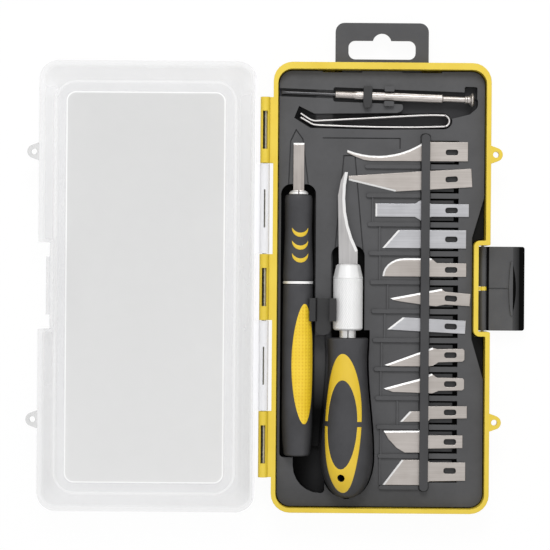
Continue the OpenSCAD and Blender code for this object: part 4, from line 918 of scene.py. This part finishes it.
BEND, BEND_R = Vector((31.1, 84.06)), 2.8
STRIP_THICK, STRIP_EASE, STRIP_FLAT = 0.8, 0.15, 0.72
LOWER_ARM = [(-14.52, -3.25), (-37.62, -3.2), (-59.4, -2.62), (-63.69, -2.45), (-66, -2.0),
             (-67.98, -0.9), (-72, 1.35)]
UPPER_ARM = [(-10, 2.8), (-38, 1.15), (-61, -0.18), (-64.3, -0.35), (-66.4, 0.02), (-68.4, 1.05),
             (-72, 3.45)]


def smooth_path(points, fine):
    """Catmull-Rom curve through points."""
    points = [2 * points[0] - points[1], *points, 2 * points[-1] - points[-2]]
    out = []
    for a, b, c, d in zip(points, points[1:], points[2:], points[3:]):
        for i in range(fine):
            t = i / fine
            line = 2 * b + (c - a) * t
            curve = (2 * a - 5 * b + 4 * c - d) * t ** 2 + (3 * b - a - 3 * c + d) * t ** 3
            out.append((line + curve) / 2)
    out.append(points[-2])
    return out


def arm_path(side, points):
    """One half of the round bend, then the points of an arm."""
    quarter = [math.radians(angle) for angle in range(0, 91, 10)]
    arc = [(BEND_R * math.cos(angle), side * BEND_R * math.sin(angle)) for angle in quarter]
    return smooth_path([BEND + Vector(point) for point in arc + points], fine=5)


def strip(path, node):
    """A flat strip standing on edge along a path, as high as its CAD node, with eased long edges."""
    low, high = (corner.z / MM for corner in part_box(node))
    half, flat = STRIP_THICK / 2, STRIP_THICK / 2 * STRIP_FLAT
    eased_low, eased_high = low + STRIP_EASE, high - STRIP_EASE
    section = [(-half, eased_low), (-half, eased_high), (-flat, high), (flat, high),
               (half, eased_high), (half, eased_low), (flat, low), (-flat, low)]
    verts = []
    for i, point in enumerate(path):
        way = (path[min(i + 1, len(path) - 1)] - path[max(i - 1, 0)]).normalized()
        normal = Vector((-way.y, way.x))
        for off, height in section:
            spot = point + normal * off
            verts.append(Vector((spot.x, spot.y, height)) * MM)
    return verts, tube(len(path), len(section))


for name, side, points, body, node in (
    ("tweezer_strip_lower", -1, LOWER_ARM, "tweezers", "tweezer_lower_arm"),
    ("tweezer_strip_upper", 1, UPPER_ARM, "tweezer_upper", "tweezer_upper_arm"),
):
    piece(name, strip(arm_path(side, points), node), "tweezer", body, node, crease=35)


# Stage, light and camera: places are in metres

FLOOR_HALF, FLOOR_Z = 4.0, -0.0003
FLOOR_TONE, FLOOR_WHITE = 0.86, 0.95
HORIZON, HORIZON_LIGHT, OVERHEAD_LIGHT = 0.35, 0.10, 1.4
WHITE = (1, 1, 1, 1)
CAMERA_PLACE, CAMERA_ROLL = (-0.05317, 0.00605, 1.0), 0.0075
SENSOR, LENS = 36.0, 128.7
NEAREST, FARTHEST = 0.01, 20


def seen_white(tree):
    """1 for rays from the camera, mirrored in metal or passed through clear plastic."""
    path = tree.add("LightPath").outputs
    seen = path["Is Camera Ray"]
    for kind in ("Is Glossy Ray", "Is Transmission Ray"):
        seen = tree.either(seen, path[kind])
    return seen


def floor():
    """Pale floor that looks white and keeps a little of the object's shadow."""
    corners = [(-1, -1), (1, -1), (1, 1), (-1, 1)]
    mesh = bpy.data.meshes.new("floor")
    mesh.from_pydata([(x * FLOOR_HALF, y * FLOOR_HALF, FLOOR_Z) for x, y in corners], [], [(0, 1, 2, 3)])
    obj = bpy.data.objects.new("floor", mesh)
    bpy.context.scene.collection.objects.link(obj)
    material = bpy.data.materials.new("floor")
    tree = Tree(material)
    white = tree.math("MULTIPLY", seen_white(tree), FLOOR_WHITE)
    diffuse = tree.add("BsdfDiffuse", {"Color": (*grey(FLOOR_TONE), 1)})
    glow = tree.add("Emission")
    both = tree.add("MixShader", {0: white, 1: diffuse.outputs[0], 2: glow.outputs[0]})
    tree.add("OutputMaterial", {"Surface": both.outputs[0]})
    mesh.materials.append(material)


def world():
    """White backdrop; the light comes from a dome that is bright overhead and dim at the horizon."""
    studio = bpy.data.worlds.new("studio")
    bpy.context.scene.world = studio
    tree = Tree(studio)
    way = tree.add("SeparateXYZ", {0: tree.add("TexCoord").outputs["Generated"]}).outputs[Z]
    fade = tree.add("MapRange", {"Value": way, "From Min": HORIZON, "From Max": 1.0,
                                 "To Min": HORIZON_LIGHT, "To Max": OVERHEAD_LIGHT},
                    interpolation_type="SMOOTHSTEP")
    dome = tree.add("Background", {"Color": WHITE, "Strength": fade.outputs[0]})
    backdrop = tree.add("Background", {"Color": WHITE, "Strength": 1.0})
    both = tree.add("MixShader", {0: seen_white(tree), 1: dome.outputs[0], 2: backdrop.outputs[0]})
    tree.add("OutputWorld", {"Surface": both.outputs[0]})


def lamp(name, place, target, size, power):
    """A square lamp that faces a target."""
    light = bpy.data.lights.new(name, "AREA")
    light.shape = "SQUARE"
    light.size = size
    light.energy = power
    obj = bpy.data.objects.new(name, light)
    obj.location = place
    obj.rotation_euler = (Vector(target) - Vector(place)).to_track_quat("-Z", "Y").to_euler()
    bpy.context.scene.collection.objects.link(obj)


def camera():
    """A long lens straight above the case, as in the photograph."""
    view = bpy.data.cameras.new("camera")
    view.sensor_width = SENSOR
    view.lens = LENS
    view.clip_start = NEAREST
    view.clip_end = FARTHEST
    obj = bpy.data.objects.new("camera", view)
    obj.location = CAMERA_PLACE
    obj.rotation_euler = (0, 0, CAMERA_ROLL)
    bpy.context.scene.collection.objects.link(obj)
    bpy.context.scene.camera = obj


floor()
world()
lamp("key", place=(-0.05, 0.85, 0.95), target=(-0.03, 0.03, 0), size=0.5, power=8.5)
lamp("fill", place=(0.6, -0.7, 0.7), target=(-0.05, 0, 0), size=0.8, power=1.2)
camera()
bpy.context.scene.view_settings.view_transform = "Standard"
